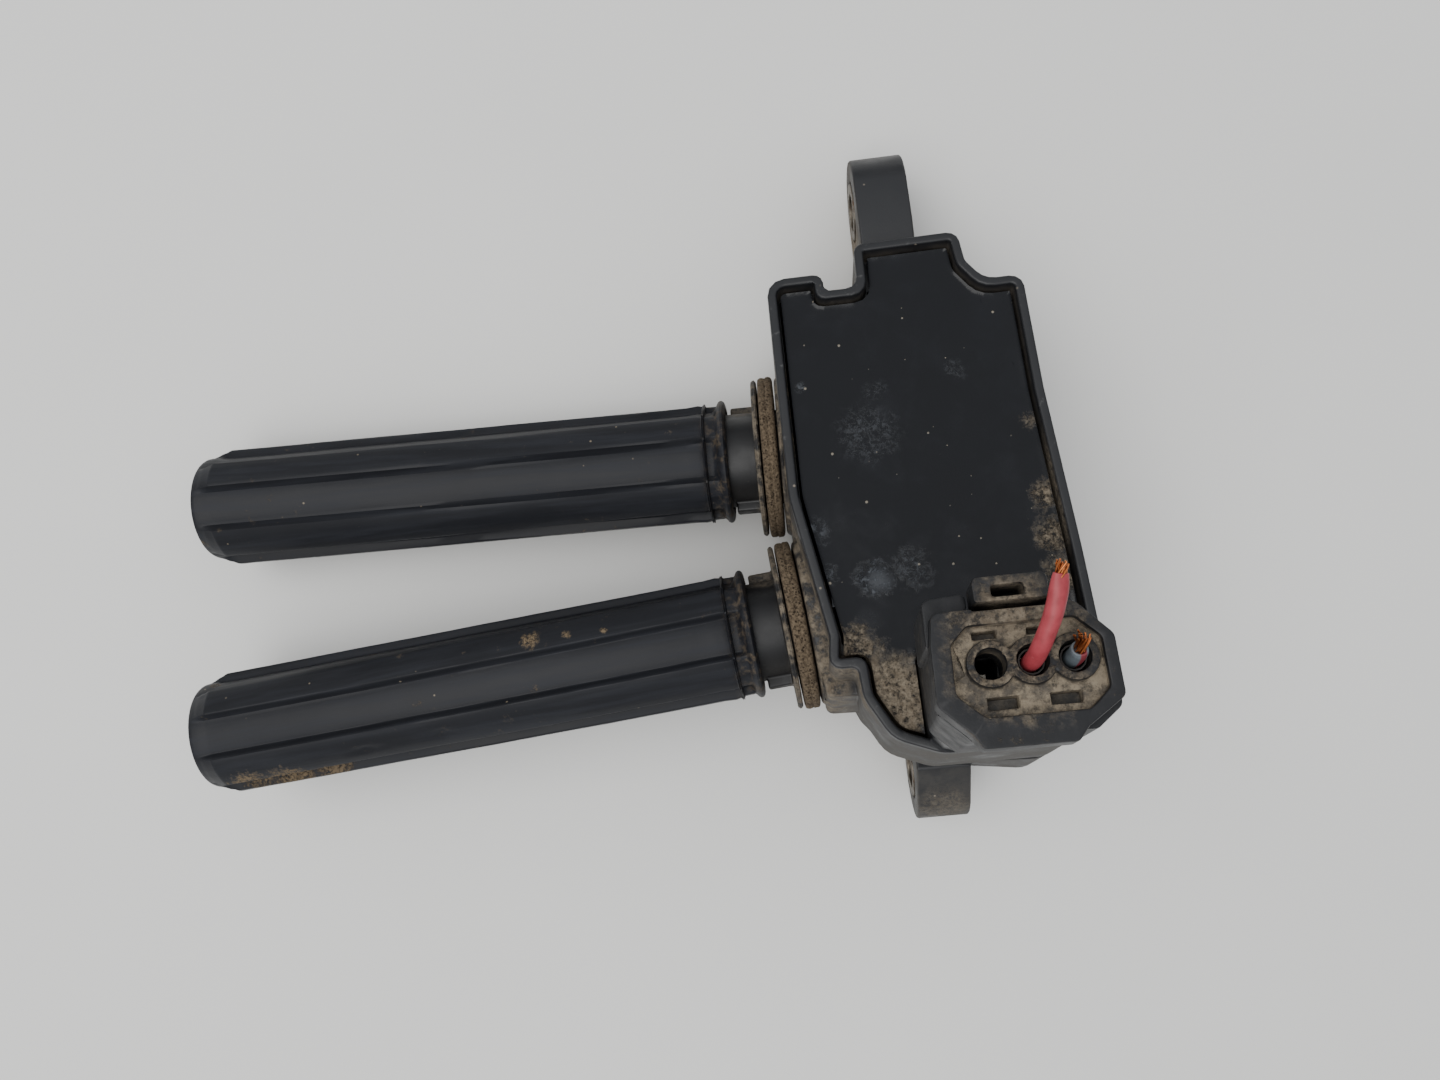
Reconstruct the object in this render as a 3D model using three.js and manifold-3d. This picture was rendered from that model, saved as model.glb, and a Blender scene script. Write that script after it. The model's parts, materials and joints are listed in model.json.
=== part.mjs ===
// Twin-tower coil-on-plug ignition coil with its harness plug, lying on a bench.
// Millimetres, +Z up, bench surface at Z = 0. +X runs along the bolt axis, from the
// spark-plug ends of the boots towards the coil case.
//
// Most of the object is laid out in the coil's own frame:
//   x  along the bolts and towers (the towers point to -x)
//   y  along the length of the case
//   h  across the case, normal to the potted face (written as z in that frame)
import * as THREE from 'three';
import { mergeVertices } from 'three/addons/utils/BufferGeometryUtils.js';
import Module from 'manifold-3d';

const wasm = await Module();
wasm.setup();

// ---------- driving dimensions ----------
const ROLL = 18.08;           // deg, the case lies rolled about x, -y side up
const PITCH = 3.6;            // deg, tower ends lower than the case
const RIM_H = 20;             // top of the case rim
const RESIN_H = 18.3;         // potted surface
const CASE_BOTTOM_H = -16.6;  // underside of the case
const BOTTOM_BREAK_Y = 8;     // from here the underside slopes up towards the +y end
const BOTTOM_END_H = -4.8;    // its height at the +y end (y = 44)
const WALL = 1.8;             // case wall
const RIM_WALL = 1.5;         // rim width
const TOWER1 = { x: 2.5, y: 15.3, splay: 0.9 };     // seat plane centre and direction (deg in the x-y plane)
const TOWER2 = { x: 3.9, y: -15.0, splay: -5.4 };
const SEAL_R = 14.05;         // foam seal outside radius
const SEAL_BORE_R = 9.4;
const SEAL_T = 2.9;           // foam seal thickness
const DISC_R = 13.75;         // retaining disc of the tower
const NECK_R = 8.2;           // tower neck
const NOZZLE_R = 6.0;         // tower end inside the boot
const NECK_END = 20;          // distances along the tower axis from its seat plane
const TOWER_END = 36;
const BOOT_START = 8.8;
const BOOT1_END = 101.6;
const BOOT2_END = 104.4;
const BOOT_R = 10.2;          // over the ribs
const BOOT_CORE_R = 9.35;     // between the ribs
const FLEX_FROM = 38;         // beyond the tower end the soft boots lean away from the tower axis
const BOOT1_LEAN = 0.053;     // up: the boot rests on the bench at its end (mm per mm)
const BOOT2_LEAN = -0.056;    // down: it hangs a little
const EAR_X0 = 20.0;          // clamping face of the bolt ears
const EAR_X1 = 29.2;
const EAR_R = 8.9;
const EAR1 = { y: 58.2, h: 7.3 };     // bolt centres
const EAR2 = { y: -38.0, h: -24.2 };
const BUSH_R = 5.0;
const BUSH_BORE_R = 3.3;
const PLUG = { x: 30.4, y: -32.9, pitch: 5.1 };     // centre cavity of the connector
const SHROUD_HX = 9.8;        // half sizes of the connector shroud
const SHROUD_HY = 7.3;
const SHROUD_TOP_H = 38;
const PLUG_TOP_H = 45;
const WIRE_R = 1.15;

// ---------- helpers ----------
const D2R = Math.PI / 180;
const V = (x, y) => new THREE.Vector2(x, y);

function solid(geometry) {
  const g = geometry.index ? geometry.toNonIndexed() : geometry.clone();
  for (const name of Object.keys(g.attributes)) if (name !== 'position') g.deleteAttribute(name);
  const m = mergeVertices(g, 1e-4);
  const out = new wasm.Manifold(new wasm.Mesh({
    numProp: 3,
    vertProperties: Float32Array.from(m.attributes.position.array),
    triVerts: Uint32Array.from(m.index.array),
  }));
  return out;
}
function geometryOf(manifold) {
  const mesh = manifold.getMesh();
  const n = mesh.vertProperties.length / mesh.numProp;
  const pos = new Float32Array(n * 3);
  for (let i = 0; i < n; i++) {
    for (let k = 0; k < 3; k++) pos[3 * i + k] = mesh.vertProperties[i * mesh.numProp + k];
  }
  const g = new THREE.BufferGeometry();
  g.setAttribute('position', new THREE.BufferAttribute(pos, 3));
  g.setIndex(Array.from(mesh.triVerts));
  g.computeVertexNormals();
  return g;
}
const join = (...list) => list.reduce((a, b) => a.add(b));
const cut = (a, ...list) => list.reduce((x, b) => x.subtract(b), a);

// closed 2-D outline (array of [x, y]) extruded from z0 to z1
function prism(points, z0, z1) {
  const g = new THREE.ExtrudeGeometry(new THREE.Shape(points.map(([x, y]) => V(x, y))),
    { depth: z1 - z0, bevelEnabled: false });
  g.translate(0, 0, z0);
  return solid(g);
}
// outline given in y-h, extruded along x
function prismX(points, x0, x1) {
  const g = new THREE.ExtrudeGeometry(new THREE.Shape(points.map(([y, h]) => V(y, h))),
    { depth: x1 - x0, bevelEnabled: false });
  // local (x,y,z) -> (z, x, y)
  g.applyMatrix4(new THREE.Matrix4().set(0, 0, 1, x0, 1, 0, 0, 0, 0, 1, 0, 0, 0, 0, 0, 1));
  return solid(g);
}
function box(x0, x1, y0, y1, z0, z1) {
  const g = new THREE.BoxGeometry(x1 - x0, y1 - y0, z1 - z0);
  g.translate((x0 + x1) / 2, (y0 + y1) / 2, (z0 + z1) / 2);
  return solid(g);
}
// turned solid about local z; profile = [[r, z], ...], open profiles run from axis to axis
function turned(profile, segments = 32, phase = 0) {
  const g = new THREE.LatheGeometry(profile.map(([r, z]) => V(r, z)), segments);
  g.rotateX(Math.PI / 2);          // lathe axis y -> z
  g.rotateZ(phase);
  let s = solid(g);
  if (s.volume() < 0) {
    const idx = g.index.array;
    for (let i = 0; i < idx.length; i += 3) { const t = idx[i]; idx[i] = idx[i + 1]; idx[i + 1] = t; }
    s = solid(g);
  }
  return s;
}
const rod = (r, z0, z1, seg = 32) => turned([[0, z0], [r, z0], [r, z1], [0, z1]], seg);
const tube = (r0, r1, z0, z1, seg = 32) => turned([[r0, z0], [r1, z0], [r1, z1], [r0, z1], [r0, z0]], seg);
function roundedRect(x0, x1, y0, y1, r, n = 3) {
  const pts = [];
  const corner = (cx, cy, a0) => {
    for (let i = 0; i <= n; i++) {
      const a = (a0 + 90 * i / n) * D2R;
      pts.push([cx + r * Math.cos(a), cy + r * Math.sin(a)]);
    }
  };
  corner(x1 - r, y0 + r, -90); corner(x1 - r, y1 - r, 0);
  corner(x0 + r, y1 - r, 90); corner(x0 + r, y0 + r, 180);
  return pts;
}
// polygon whose corners [x, y, r] are rounded with radius r
function filleted(corners, n = 4) {
  const out = [];
  const m = corners.length;
  for (let i = 0; i < m; i++) {
    const [x, y, r] = corners[i];
    const p = V(x, y);
    if (!r) { out.push([x, y]); continue; }
    const a = V(...corners[(i + m - 1) % m].slice(0, 2)).sub(p).normalize();
    const b = V(...corners[(i + 1) % m].slice(0, 2)).sub(p).normalize();
    const half = Math.acos(Math.max(-1, Math.min(1, a.dot(b)))) / 2;
    const d = r / Math.tan(half);
    const c = a.clone().add(b).normalize().multiplyScalar(r / Math.sin(half)).add(p);
    const s = a.clone().multiplyScalar(d).add(p).sub(c);
    const e = b.clone().multiplyScalar(d).add(p).sub(c);
    let a0 = Math.atan2(s.y, s.x), a1 = Math.atan2(e.y, e.x);
    while (a1 - a0 > Math.PI) a1 -= 2 * Math.PI;
    while (a1 - a0 < -Math.PI) a1 += 2 * Math.PI;
    for (let k = 0; k <= n; k++) {
      const t = a0 + (a1 - a0) * k / n;
      out.push([c.x + r * Math.cos(t), c.y + r * Math.sin(t)]);
    }
  }
  return out;
}
// corner list moved inwards by d (corners run anticlockwise); radii shrink at convex corners and grow at concave ones
function insetCorners(corners, d) {
  const n = corners.length;
  return corners.map(([x, y, r], i) => {
    const p = V(x, y);
    const e0 = p.clone().sub(V(...corners[(i + n - 1) % n].slice(0, 2))).normalize();
    const e1 = V(...corners[(i + 1) % n].slice(0, 2)).sub(p).normalize();
    const n0 = V(-e0.y, e0.x), n1 = V(-e1.y, e1.x);
    const b = n0.clone().add(n1).multiplyScalar(d / (1 + n0.dot(n1)));
    const convex = e0.x * e1.y - e0.y * e1.x > 0;
    return [x + b.x, y + b.y, convex ? Math.max(r - d, 0.25) : r + 0.4 * d];
  });
}

const object = new THREE.Group();
const coil = new THREE.Group();      // the coil's own frame
object.add(coil);
coil.quaternion.copy(new THREE.Quaternion().setFromAxisAngle(new THREE.Vector3(0, 1, 0), -PITCH * D2R)
  .multiply(new THREE.Quaternion().setFromAxisAngle(new THREE.Vector3(1, 0, 0), -ROLL * D2R)));

function piece(parent, name, shape, color, roughness, metalness) {
  const geometry = shape.isBufferGeometry ? shape : geometryOf(shape);
  const mesh = new THREE.Mesh(geometry, new THREE.MeshStandardMaterial({ color, roughness, metalness }));
  mesh.name = name;
  parent.add(mesh);
  return mesh;
}
// frame of a tower: local z runs out of the case along the tower axis, local x is the coil's h
function towerGroup(t) {
  const g = new THREE.Group();
  const a = t.splay * D2R;
  const z = new THREE.Vector3(-Math.cos(a), Math.sin(a), 0);
  const x = new THREE.Vector3(0, 0, 1);
  const y = new THREE.Vector3().crossVectors(z, x);
  const m = new THREE.Matrix4().makeBasis(x, y, z).setPosition(t.x, t.y, 0);
  g.applyMatrix4(m);
  coil.add(g);
  g.userData.frame = m.clone();
  return g;
}
const tower1 = towerGroup(TOWER1);
const tower2 = towerGroup(TOWER2);

// ---------- coil case ----------
// outline of the case seen on the potted face, anticlockwise, corners with their radii
const outlineCorners = [
  [3.1, 0.5, 14], [6.9, -22.0, 3], [6.3, -27.0, 1.7], [10.5, -27.0, 1.0],
  [10.8, -31.6, 5], [14.2, -37.8, 5], [21.0, -40.5, 6], [38.8, -40.5, 4.5], [46.2, -36.2, 3.5],
  [45.6, -12, 20], [44.5, 14, 20], [44.5, 34.5, 2.2], [38.4, 34.4, 3.6], [35.8, 38.2, 2.2], [35.3, 43.8, 2.0],
  [18.1, 43.6, 1.6], [17.9, 35.6, 2.0], [12.5, 35.6, 1.0], [12.4, 38.8, 1.6], [3.1, 38.8, 3.0],
];
const outline = filleted(outlineCorners, 3);
const rimInner = filleted(insetCorners(outlineCorners, RIM_WALL), 3);
const wallInner = filleted(insetCorners(outlineCorners, WALL), 3);

function towerSolid() {
  const t = turned([[0, -1.2], [NECK_R, -1.2], [NECK_R, SEAL_T + 0.3], [DISC_R - 0.3, SEAL_T + 0.3], [DISC_R, SEAL_T + 0.5],
    [DISC_R, SEAL_T + 0.9], [DISC_R - 0.3, SEAL_T + 1.15], [NECK_R, SEAL_T + 1.15], [NECK_R, NECK_END - 1], [NECK_R - 0.8, NECK_END],
    [NOZZLE_R + 0.3, NECK_END], [NOZZLE_R, TOWER_END - 1], [NOZZLE_R - 0.8, TOWER_END], [0, TOWER_END]], 28);
  // one stiffening rib on the +y flank of the neck, one opposite
  const rib = join(box(-1.1, 1.1, NECK_R - 1, NECK_R + 1.6, SEAL_T + 0.8, BOOT_START - 0.6),
    box(-1.1, 1.1, -NECK_R - 1.6, -NECK_R + 1, SEAL_T + 0.8, BOOT_START - 0.6));
  return join(t, rib);
}
const towerBore = () => join(rod(2.3, -6, TOWER_END + 1, 16), rod(4.5, 24, TOWER_END + 1, 16));

// everything above the underside raised by d: flat, then sloping up beyond the break
const above = (d) => prismX([[-60, CASE_BOTTOM_H + d], [BOTTOM_BREAK_Y, CASE_BOTTOM_H + d], [44, BOTTOM_END_H + d], [60, BOTTOM_END_H + d], [60, 60], [-60, 60]], -20, 70);
// below h = 1.5 the corner beside the connector end is drawn in
const lowerCorners = outlineCorners.map((c) => [...c]);
lowerCorners[4] = [11.7, -29.9, 4];
lowerCorners[5] = [15.7, -34.9, 4];
lowerCorners[6] = [20.4, -38.0, 3];
const lowerOutline = filleted(lowerCorners, 3);
let caseBody = join(prism(outline, 1.5, RIM_H), prism(lowerOutline, CASE_BOTTOM_H - 1, 2.5)).intersect(above(0));
// ears: round lug with a web into the case
function ear(c, web) {
  const pts = [];
  for (let i = 0; i < 28; i++) { const a = (i * 360 / 28) * D2R; pts.push([c.y + EAR_R * Math.cos(a), c.h + EAR_R * Math.sin(a)]); }
  return join(prismX(pts, EAR_X0, EAR_X1), prismX(web, EAR_X0, EAR_X1));
}
const ear1 = ear(EAR1, [[41, -4.2], [58.8, -1.58], [58.2, 16.2], [50.0, 15.6], [41, 13.0]]);
const ear2 = ear(EAR2, [[-39.5, -32.95], [-16, -17.0], [-16, -13.5], [-39.5, -12], [-40.4, -13], [-45.6, -19.5], [-46.6, -22.8]]);
caseBody = join(caseBody, ear1, ear2);
// seat blocks behind the seal rings
const seat = (g) => { const s = turned([[0, -4], [SEAL_R - 0.1, -4], [SEAL_R - 0.1, -0.6], [SEAL_R - 0.5, 0], [0, 0]], 36); return s.transform(g.userData.frame.elements); };
const trimSeat = box(-3, 12, -60, 60, -20, RIM_H - 3);
caseBody = join(caseBody, seat(tower1).intersect(trimSeat), seat(tower2).intersect(trimSeat));
// corner block with a rounded foot beside the lower tower
caseBody = join(caseBody, prism(filleted([[5.3, -20, 0], [5.8, -29.2, 1.2], [12, -29.4, 0.8], [14, -24, 0]], 3), -9, 9));
caseBody = join(caseBody, towerSolid().transform(tower1.userData.frame.elements), towerSolid().transform(tower2.userData.frame.elements));
// winding chamber
const lowerInner = filleted(insetCorners(lowerCorners, WALL), 3);
caseBody = cut(caseBody, prism(lowerInner, CASE_BOTTOM_H, RESIN_H - 2.0).intersect(above(WALL)), prism(wallInner, 3.4, RESIN_H - 2.0), prism(rimInner, RESIN_H - 2.2, RIM_H + 1));
// connector shroud with its solid foot
const sx0 = PLUG.x - SHROUD_HX, sx1 = PLUG.x + SHROUD_HX, sy0 = PLUG.y - SHROUD_HY, sy1 = PLUG.y + SHROUD_HY;
const shroudFoot = prism(roundedRect(sx0 - 1.2, sx1 + 1.2, sy0 - 0.1, sy1 + 1.8, 3.2), 14, 25.5);
const shroudTube = prism(roundedRect(sx0, sx1, sy0, sy1, 3.0), 25, SHROUD_TOP_H);
const latchRamp = prismX([[sy1 - 0.5, 29.0], [sy1 + 0.7, 29.0], [sy1 + 0.7, 30.2], [sy1, 32.2], [sy1 - 0.5, 32.2]], PLUG.x - 3.0, PLUG.x + 1.4);
caseBody = join(caseBody, shroudFoot, shroudTube, latchRamp);
caseBody = cut(caseBody, prism(roundedRect(sx0 + 1.3, sx1 - 1.3, sy0 + 1.3, sy1 - 1.3, 1.9), 26.5, SHROUD_TOP_H + 1));
// bores
const boreX = (c, r) => { const pts = []; for (let i = 0; i < 24; i++) { const a = i * 15 * D2R; pts.push([c.y + r * Math.cos(a), c.h + r * Math.sin(a)]); } return prismX(pts, EAR_X0 - 1, EAR_X1 + 1); };
caseBody = cut(caseBody, boreX(EAR1, BUSH_R + 0.3), boreX(EAR2, BUSH_R + 0.3),
  towerBore().transform(tower1.userData.frame.elements), towerBore().transform(tower2.userData.frame.elements));
// slots for the three pins through the shroud floor
for (let i = -1; i <= 1; i++) {
  caseBody = cut(caseBody, box(PLUG.x + i * PLUG.pitch - 1.1, PLUG.x + i * PLUG.pitch + 1.1, PLUG.y - 0.75, PLUG.y + 0.75, 12, 28));
}
piece(coil, 'coil_case', caseBody, 0x1b1c20, 0.5, 0);

// ---------- potting resin ----------
// follows the inside of the case, with an open pocket below for each transformer
let resin = prism(filleted(insetCorners(lowerCorners, WALL + 0.35), 3), CASE_BOTTOM_H, 5).intersect(above(WALL + 0.35))
  .add(prism(filleted(insetCorners(outlineCorners, WALL + 0.35), 3), 4, RESIN_H));
const pocket = (y0, y1) => box(5.6, 43.4, y0, y1, CASE_BOTTOM_H, 17.3);
resin = cut(resin, pocket(2.0, 29.4), pocket(-25.4, 0.8));
resin = cut(resin, prism(roundedRect(sx0 - 1.6, sx1 + 1.6, sy0 - 4, sy1 + 2.2, 3.4), 10, RIM_H));
resin = cut(resin, towerBore().transform(tower1.userData.frame.elements), towerBore().transform(tower2.userData.frame.elements));
resin = cut(resin, box(EAR_X0 + 2, 40.5, -60, -29.5, CASE_BOTTOM_H, 13));
piece(coil, 'potting_resin', resin, 0x0b0c0f, 0.12, 0);

// ---------- bushings ----------
for (const [i, c] of [[1, EAR1], [2, EAR2]]) {
  const g = new THREE.Group();
  g.position.set(EAR_X0, c.y, c.h);
  g.rotation.y = Math.PI / 2;
  coil.add(g);
  const len = EAR_X1 - EAR_X0 + 0.2;
  piece(g, `ear_bushing_${i}`, turned([[BUSH_BORE_R, -0.2], [BUSH_R, -0.2], [BUSH_R, len - 0.2], [BUSH_BORE_R, len - 0.2], [BUSH_BORE_R, -0.2]], 24), 0x8a8378, 0.45, 0.9);
}

// ---------- foam seals ----------
for (const [i, g] of [[1, tower1], [2, tower2]]) {
  piece(g, `foam_seal_${i}`, turned([[SEAL_BORE_R, 0.3], [SEAL_R - 0.2, 0.3], [SEAL_R, 0.6], [SEAL_R + 0.05, 1.3], [SEAL_R - 0.1, SEAL_T], [SEAL_BORE_R, SEAL_T], [SEAL_BORE_R, 0.3]], 32), 0x6f5c45, 0.95, 0);
}

// ---------- transformers ----------
function transformer(n, cx, cy) {
  const g = new THREE.Group();
  g.position.set(cx, cy, 3.1);
  coil.add(g);
  const bar = 4.0, z0 = -13.6, z1 = 13.6;
  piece(g, `core_bar_${n}`, box(-bar, bar, -bar, bar, z0 + 3.9, z1 - 5.6), 0x55585c, 0.45, 0.85);
  piece(g, `bias_magnet_${n}`, box(-bar, bar, -bar, bar, z1 - 5.3, z1 - 3.8), 0x3b3d42, 0.35, 0.8);
  piece(g, `core_frame_${n}`, cut(box(-17.4, 17.4, -4.6, 4.6, z0, z1), box(-13.9, 13.9, -6, 6, z0 + 3.5, z1 - 3.5)), 0x5d6064, 0.45, 0.85);
  const w0 = z0 + 4.0, w1 = z1 - 4.0;
  piece(g, `primary_bobbin_${n}`, turned([[5.95, w0], [8.3, w0], [8.3, w0 + 1], [6.7, w0 + 1], [6.7, w1 - 1], [8.3, w1 - 1], [8.3, w1], [5.95, w1], [5.95, w0]], 18), 0x20242a, 0.5, 0);
  piece(g, `primary_winding_${n}`, tube(7.0, 8.2, w0 + 1.3, w1 - 1.3, 18), 0xa85a2c, 0.35, 0.8);
  piece(g, `secondary_bobbin_${n}`, turned([[8.6, w0], [12.6, w0], [12.6, w0 + 1], [9.6, w0 + 1], [9.6, w1 - 1], [12.6, w1 - 1], [12.6, w1], [8.6, w1], [8.6, w0]], 20), 0x2b3138, 0.5, 0);
  piece(g, `secondary_winding_${n}`, tube(9.95, 12.3, w0 + 1.3, w1 - 1.3, 20), 0xb8672f, 0.35, 0.8);
}
transformer(1, 24.9, 15.7);
transformer(2, 25.4, -12.3);

// ---------- high-voltage terminals, springs, contacts, boots ----------
const SPRING_Z0 = 27.4, SPRING_Z1 = 70.0;
class Helix extends THREE.Curve {
  constructor(r, z0, z1, turns) { super(); Object.assign(this, { r, z0, z1, turns }); }
  getPoint(t, target = new THREE.Vector3()) {
    const a = 2 * Math.PI * this.turns * t;
    return target.set(this.r * Math.cos(a), this.r * Math.sin(a), this.z0 + (this.z1 - this.z0) * t);
  }
}
function springGeometry() {
  const wire = 0.42, turns = 11;
  const section = new THREE.Shape();
  for (let i = 0; i < 5; i++) { const a = 2 * Math.PI * i / 5; (i ? section.lineTo : section.moveTo).call(section, wire * Math.cos(a), wire * Math.sin(a)); }
  return new THREE.ExtrudeGeometry(section, { steps: turns * 8, bevelEnabled: false,
    extrudePath: new Helix(3.2, SPRING_Z0 + 0.5, SPRING_Z1 - 0.5, turns) });
}
// rib angles in degrees round a boot, from the potted side towards the connector
const RIBS = [[-106, -90, -77], [-46, -25, -9], [30, 46, 60], [84, 101, 114], [140, 156, 170], [-168, -152, -138]];
function bootSolid(turn, BOOT_END) {
  // smooth body with collar bead, mould ridge and plain spark-plug end
  const body = turned([[0, BOOT_START], [9.6, BOOT_START], [10.55, BOOT_START + 0.25], [10.8, BOOT_START + 0.8], [10.5, BOOT_START + 1.4],
    [BOOT_CORE_R + 0.25, BOOT_START + 1.9], [BOOT_CORE_R + 0.25, BOOT_START + 3.5], [BOOT_CORE_R + 0.9, BOOT_START + 3.8], [BOOT_CORE_R + 0.25, BOOT_START + 4.1],
    [BOOT_CORE_R, BOOT_START + 5], [BOOT_CORE_R, BOOT_END - 0.6], [BOOT_CORE_R - 0.5, BOOT_END], [0, BOOT_END]], 32);
  // six long ribs: a steep wall, a face and a slope each
  let b = body;
  for (const [a0, a1, a2] of RIBS) {
    const at = (r, deg) => { const q = -(deg + turn) * D2R; return V(r * Math.cos(q), r * Math.sin(q)); };
    const corners = [at(BOOT_CORE_R - 1.2, a2 - 2), at(BOOT_CORE_R - 0.05, a2), at((BOOT_CORE_R + BOOT_R) / 2, (a1 + a2) / 2), at(BOOT_R, a1), at(BOOT_R + 0.06, (a0 + a1) / 2), at(BOOT_R, a0), at(BOOT_CORE_R - 0.05, a0 - 2.2), at(BOOT_CORE_R - 1.2, a0)];
    const g = new THREE.ExtrudeGeometry(new THREE.Shape(corners), { depth: BOOT_END - 2.4 - (BOOT_START + 4.0), bevelEnabled: false });
    g.translate(0, 0, BOOT_START + 4.0);
    b = b.add(solid(g));
  }
  const bore = turned([[0, BOOT_START - 1], [9.2, BOOT_START - 1], [8.55, BOOT_START + 1.2], [8.55, NECK_END + 0.8], [6.75, NECK_END + 1.2], [6.4, TOWER_END + 1],
    [4.6, TOWER_END + 2.4], [4.6, 78], [6.1, 79.5], [6.1, BOOT_END - 4], [7.4, BOOT_END - 1], [7.9, BOOT_END + 1], [0, BOOT_END + 1]], 24);
  return cut(b, bore);
}
// lean of the soft parts beyond the tower end, straight up or down over the bench
function lean(shape, g, amount) {
  const geometry = shape.isBufferGeometry ? shape : geometryOf(shape);
  const up = new THREE.Vector3(0, 0, 1).applyQuaternion(coil.quaternion.clone().invert());
  const local = up.transformDirection(g.userData.frame.clone().invert());
  const p = geometry.attributes.position;
  for (let k = 0; k < p.count; k++) {
    const d = Math.max(0, p.getZ(k) - FLEX_FROM) * amount;
    p.setXYZ(k, p.getX(k) + local.x * d, p.getY(k) + local.y * d, p.getZ(k));
  }
  return geometry;
}
for (const [i, g, turn, end, amount] of [[1, tower1, 0, BOOT1_END, BOOT1_LEAN], [2, tower2, 2, BOOT2_END, BOOT2_LEAN]]) {
  piece(g, `hv_terminal_${i}`, turned([[0, -2.0], [1.9, -2.0], [1.9, 24.6], [3.4, 24.6], [3.6, 25.0], [3.6, 27.0], [0, 27.0]], 16), 0xb9b4a6, 0.3, 1);
  piece(g, `contact_spring_${i}`, lean(springGeometry(), g, amount), 0xa9abad, 0.3, 1);
  piece(g, `contact_cup_${i}`, lean(turned([[0, SPRING_Z1 + 0.3], [3.6, SPRING_Z1 + 0.3], [4.1, SPRING_Z1 + 0.8], [4.1, SPRING_Z1 + 6.4], [3.0, SPRING_Z1 + 6.4], [3.0, SPRING_Z1 + 1.8], [0, SPRING_Z1 + 1.8]], 16), g, amount), 0xb9b4a6, 0.3, 1);
  // turn: a small twist of the ribs about the tower axis, in degrees
  piece(g, `boot_${i}`, lean(bootSolid(turn, end), g, amount), 0x17181b, 0.62, 0);
}

// ---------- connector pins ----------
for (let i = -1; i <= 1; i++) {
  const x = PLUG.x + i * PLUG.pitch;
  const blade = box(x - 0.75, x + 0.75, PLUG.y - 0.4, PLUG.y + 0.4, 14.5, 35.0);
  piece(coil, `connector_pin_${i + 2}`, blade, 0xc9c5b8, 0.3, 1);
}

// ---------- harness plug ----------
const plugOutline = filleted([
  [18.3, -30.0, 1.0], [18.1, -37.6, 1.4], [22.0, -41.4, 0.8], [23.0, -43.1, 0.7], [34.2, -43.1, 0.7], [35.6, -41.5, 0.8],
  [40.6, -38.2, 1.2], [40.6, -30.6, 1.4], [36.4, -25.9, 1.4], [18.9, -25.9, 1.0],
], 3);
const plugBody = filleted([
  [18.7, -30.0, 1.0], [18.7, -38.2, 1.4], [22.0, -41.4, 0.8], [37.6, -41.4, 0.8],
  [41.0, -38.8, 1.2], [41.0, -29.6, 1.4], [38.0, -25.9, 1.4], [19.0, -25.9, 1.0],
], 3);
let plug = join(prism(plugOutline, 41.2, PLUG_TOP_H), prism(plugBody, 26.6, 41.4));
// side shoulder and the guard on the other flank of the latch
plug = join(plug, prism(filleted([[18.0, -30, 0.6], [20.9, -30, 0], [23.8, -25, 0], [23.8, -23.2, 0.8], [18.2, -23.6, 1.0]], 3), 30, 42.6),
  prism(filleted([[34.4, -27.5, 0], [37.4, -27.0, 0], [35.6, -23.6, 0.6], [34.4, -23.2, 0.5]], 2), 30, 43.6));
// skirt cavity that takes the shroud, leaving the inner core
const skirtVoid = cut(prism(roundedRect(sx0 - 0.45, sx1 + 0.45, sy0 - 0.45, sy1 + 0.45, 3.3), 20, SHROUD_TOP_H + 0.5),
  prism(roundedRect(sx0 + 2.4, sx1 - 2.4, sy0 + 2.4, sy1 - 2.4, 1.2), 19, SHROUD_TOP_H + 1));
plug = cut(plug, skirtVoid);
// open window in the skirt behind the latch
plug = cut(plug, box(24.0, 34.2, -26.3, -20, 20, 39.0), box(24.0, 34.2, -26.2, -20, 20, 46));
// recess in the cable side, with the raised lobed collar around the three cavities
const recess = prism(filleted([[20.8, -30.2, 1], [20.6, -36.4, 1.4], [23.8, -39.4, 1.2], [36.2, -39.4, 1.2], [39.0, -37.0, 1.2], [39.0, -30.8, 1.2], [36.2, -28.0, 1.2], [23.0, -28.0, 1.2]], 3), PLUG_TOP_H - 1.3, PLUG_TOP_H + 1);
const collars = [-1, 0, 1].map((i) => rod(3.0, PLUG_TOP_H - 2.2, PLUG_TOP_H - 0.1, 20).translate(PLUG.x + i * PLUG.pitch, PLUG.y, 0)).reduce((a, b) => a.add(b));
plug = join(cut(plug, recess), collars);
for (let i = -1; i <= 1; i++) {
  const x = PLUG.x + i * PLUG.pitch;
  plug = cut(plug, rod(1.95, 38.5, PLUG_TOP_H + 1, 16).translate(x, PLUG.y, 0), box(x - 1.75, x + 1.75, PLUG.y - 1.85, PLUG.y + 1.85, 20, 39));
}
// tool slots in the recess floor
for (const [x0, x1, y0, y1] of [[21.0, 22.0, -34.4, -31.4], [23.7, 26.7, -29.6, -28.6], [30.4, 32.8, -29.5, -28.6], [24.4, 28.2, -38.4, -36.9], [32.0, 35.8, -38.4, -36.9]]) {
  plug = cut(plug, box(x0, x1, y0, y1, PLUG_TOP_H - 3.4, PLUG_TOP_H + 1));
}
const plugGroup = new THREE.Group();
coil.add(plugGroup);
piece(plugGroup, 'plug_housing', plug, 0x1d1e21, 0.55, 0);

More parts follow.
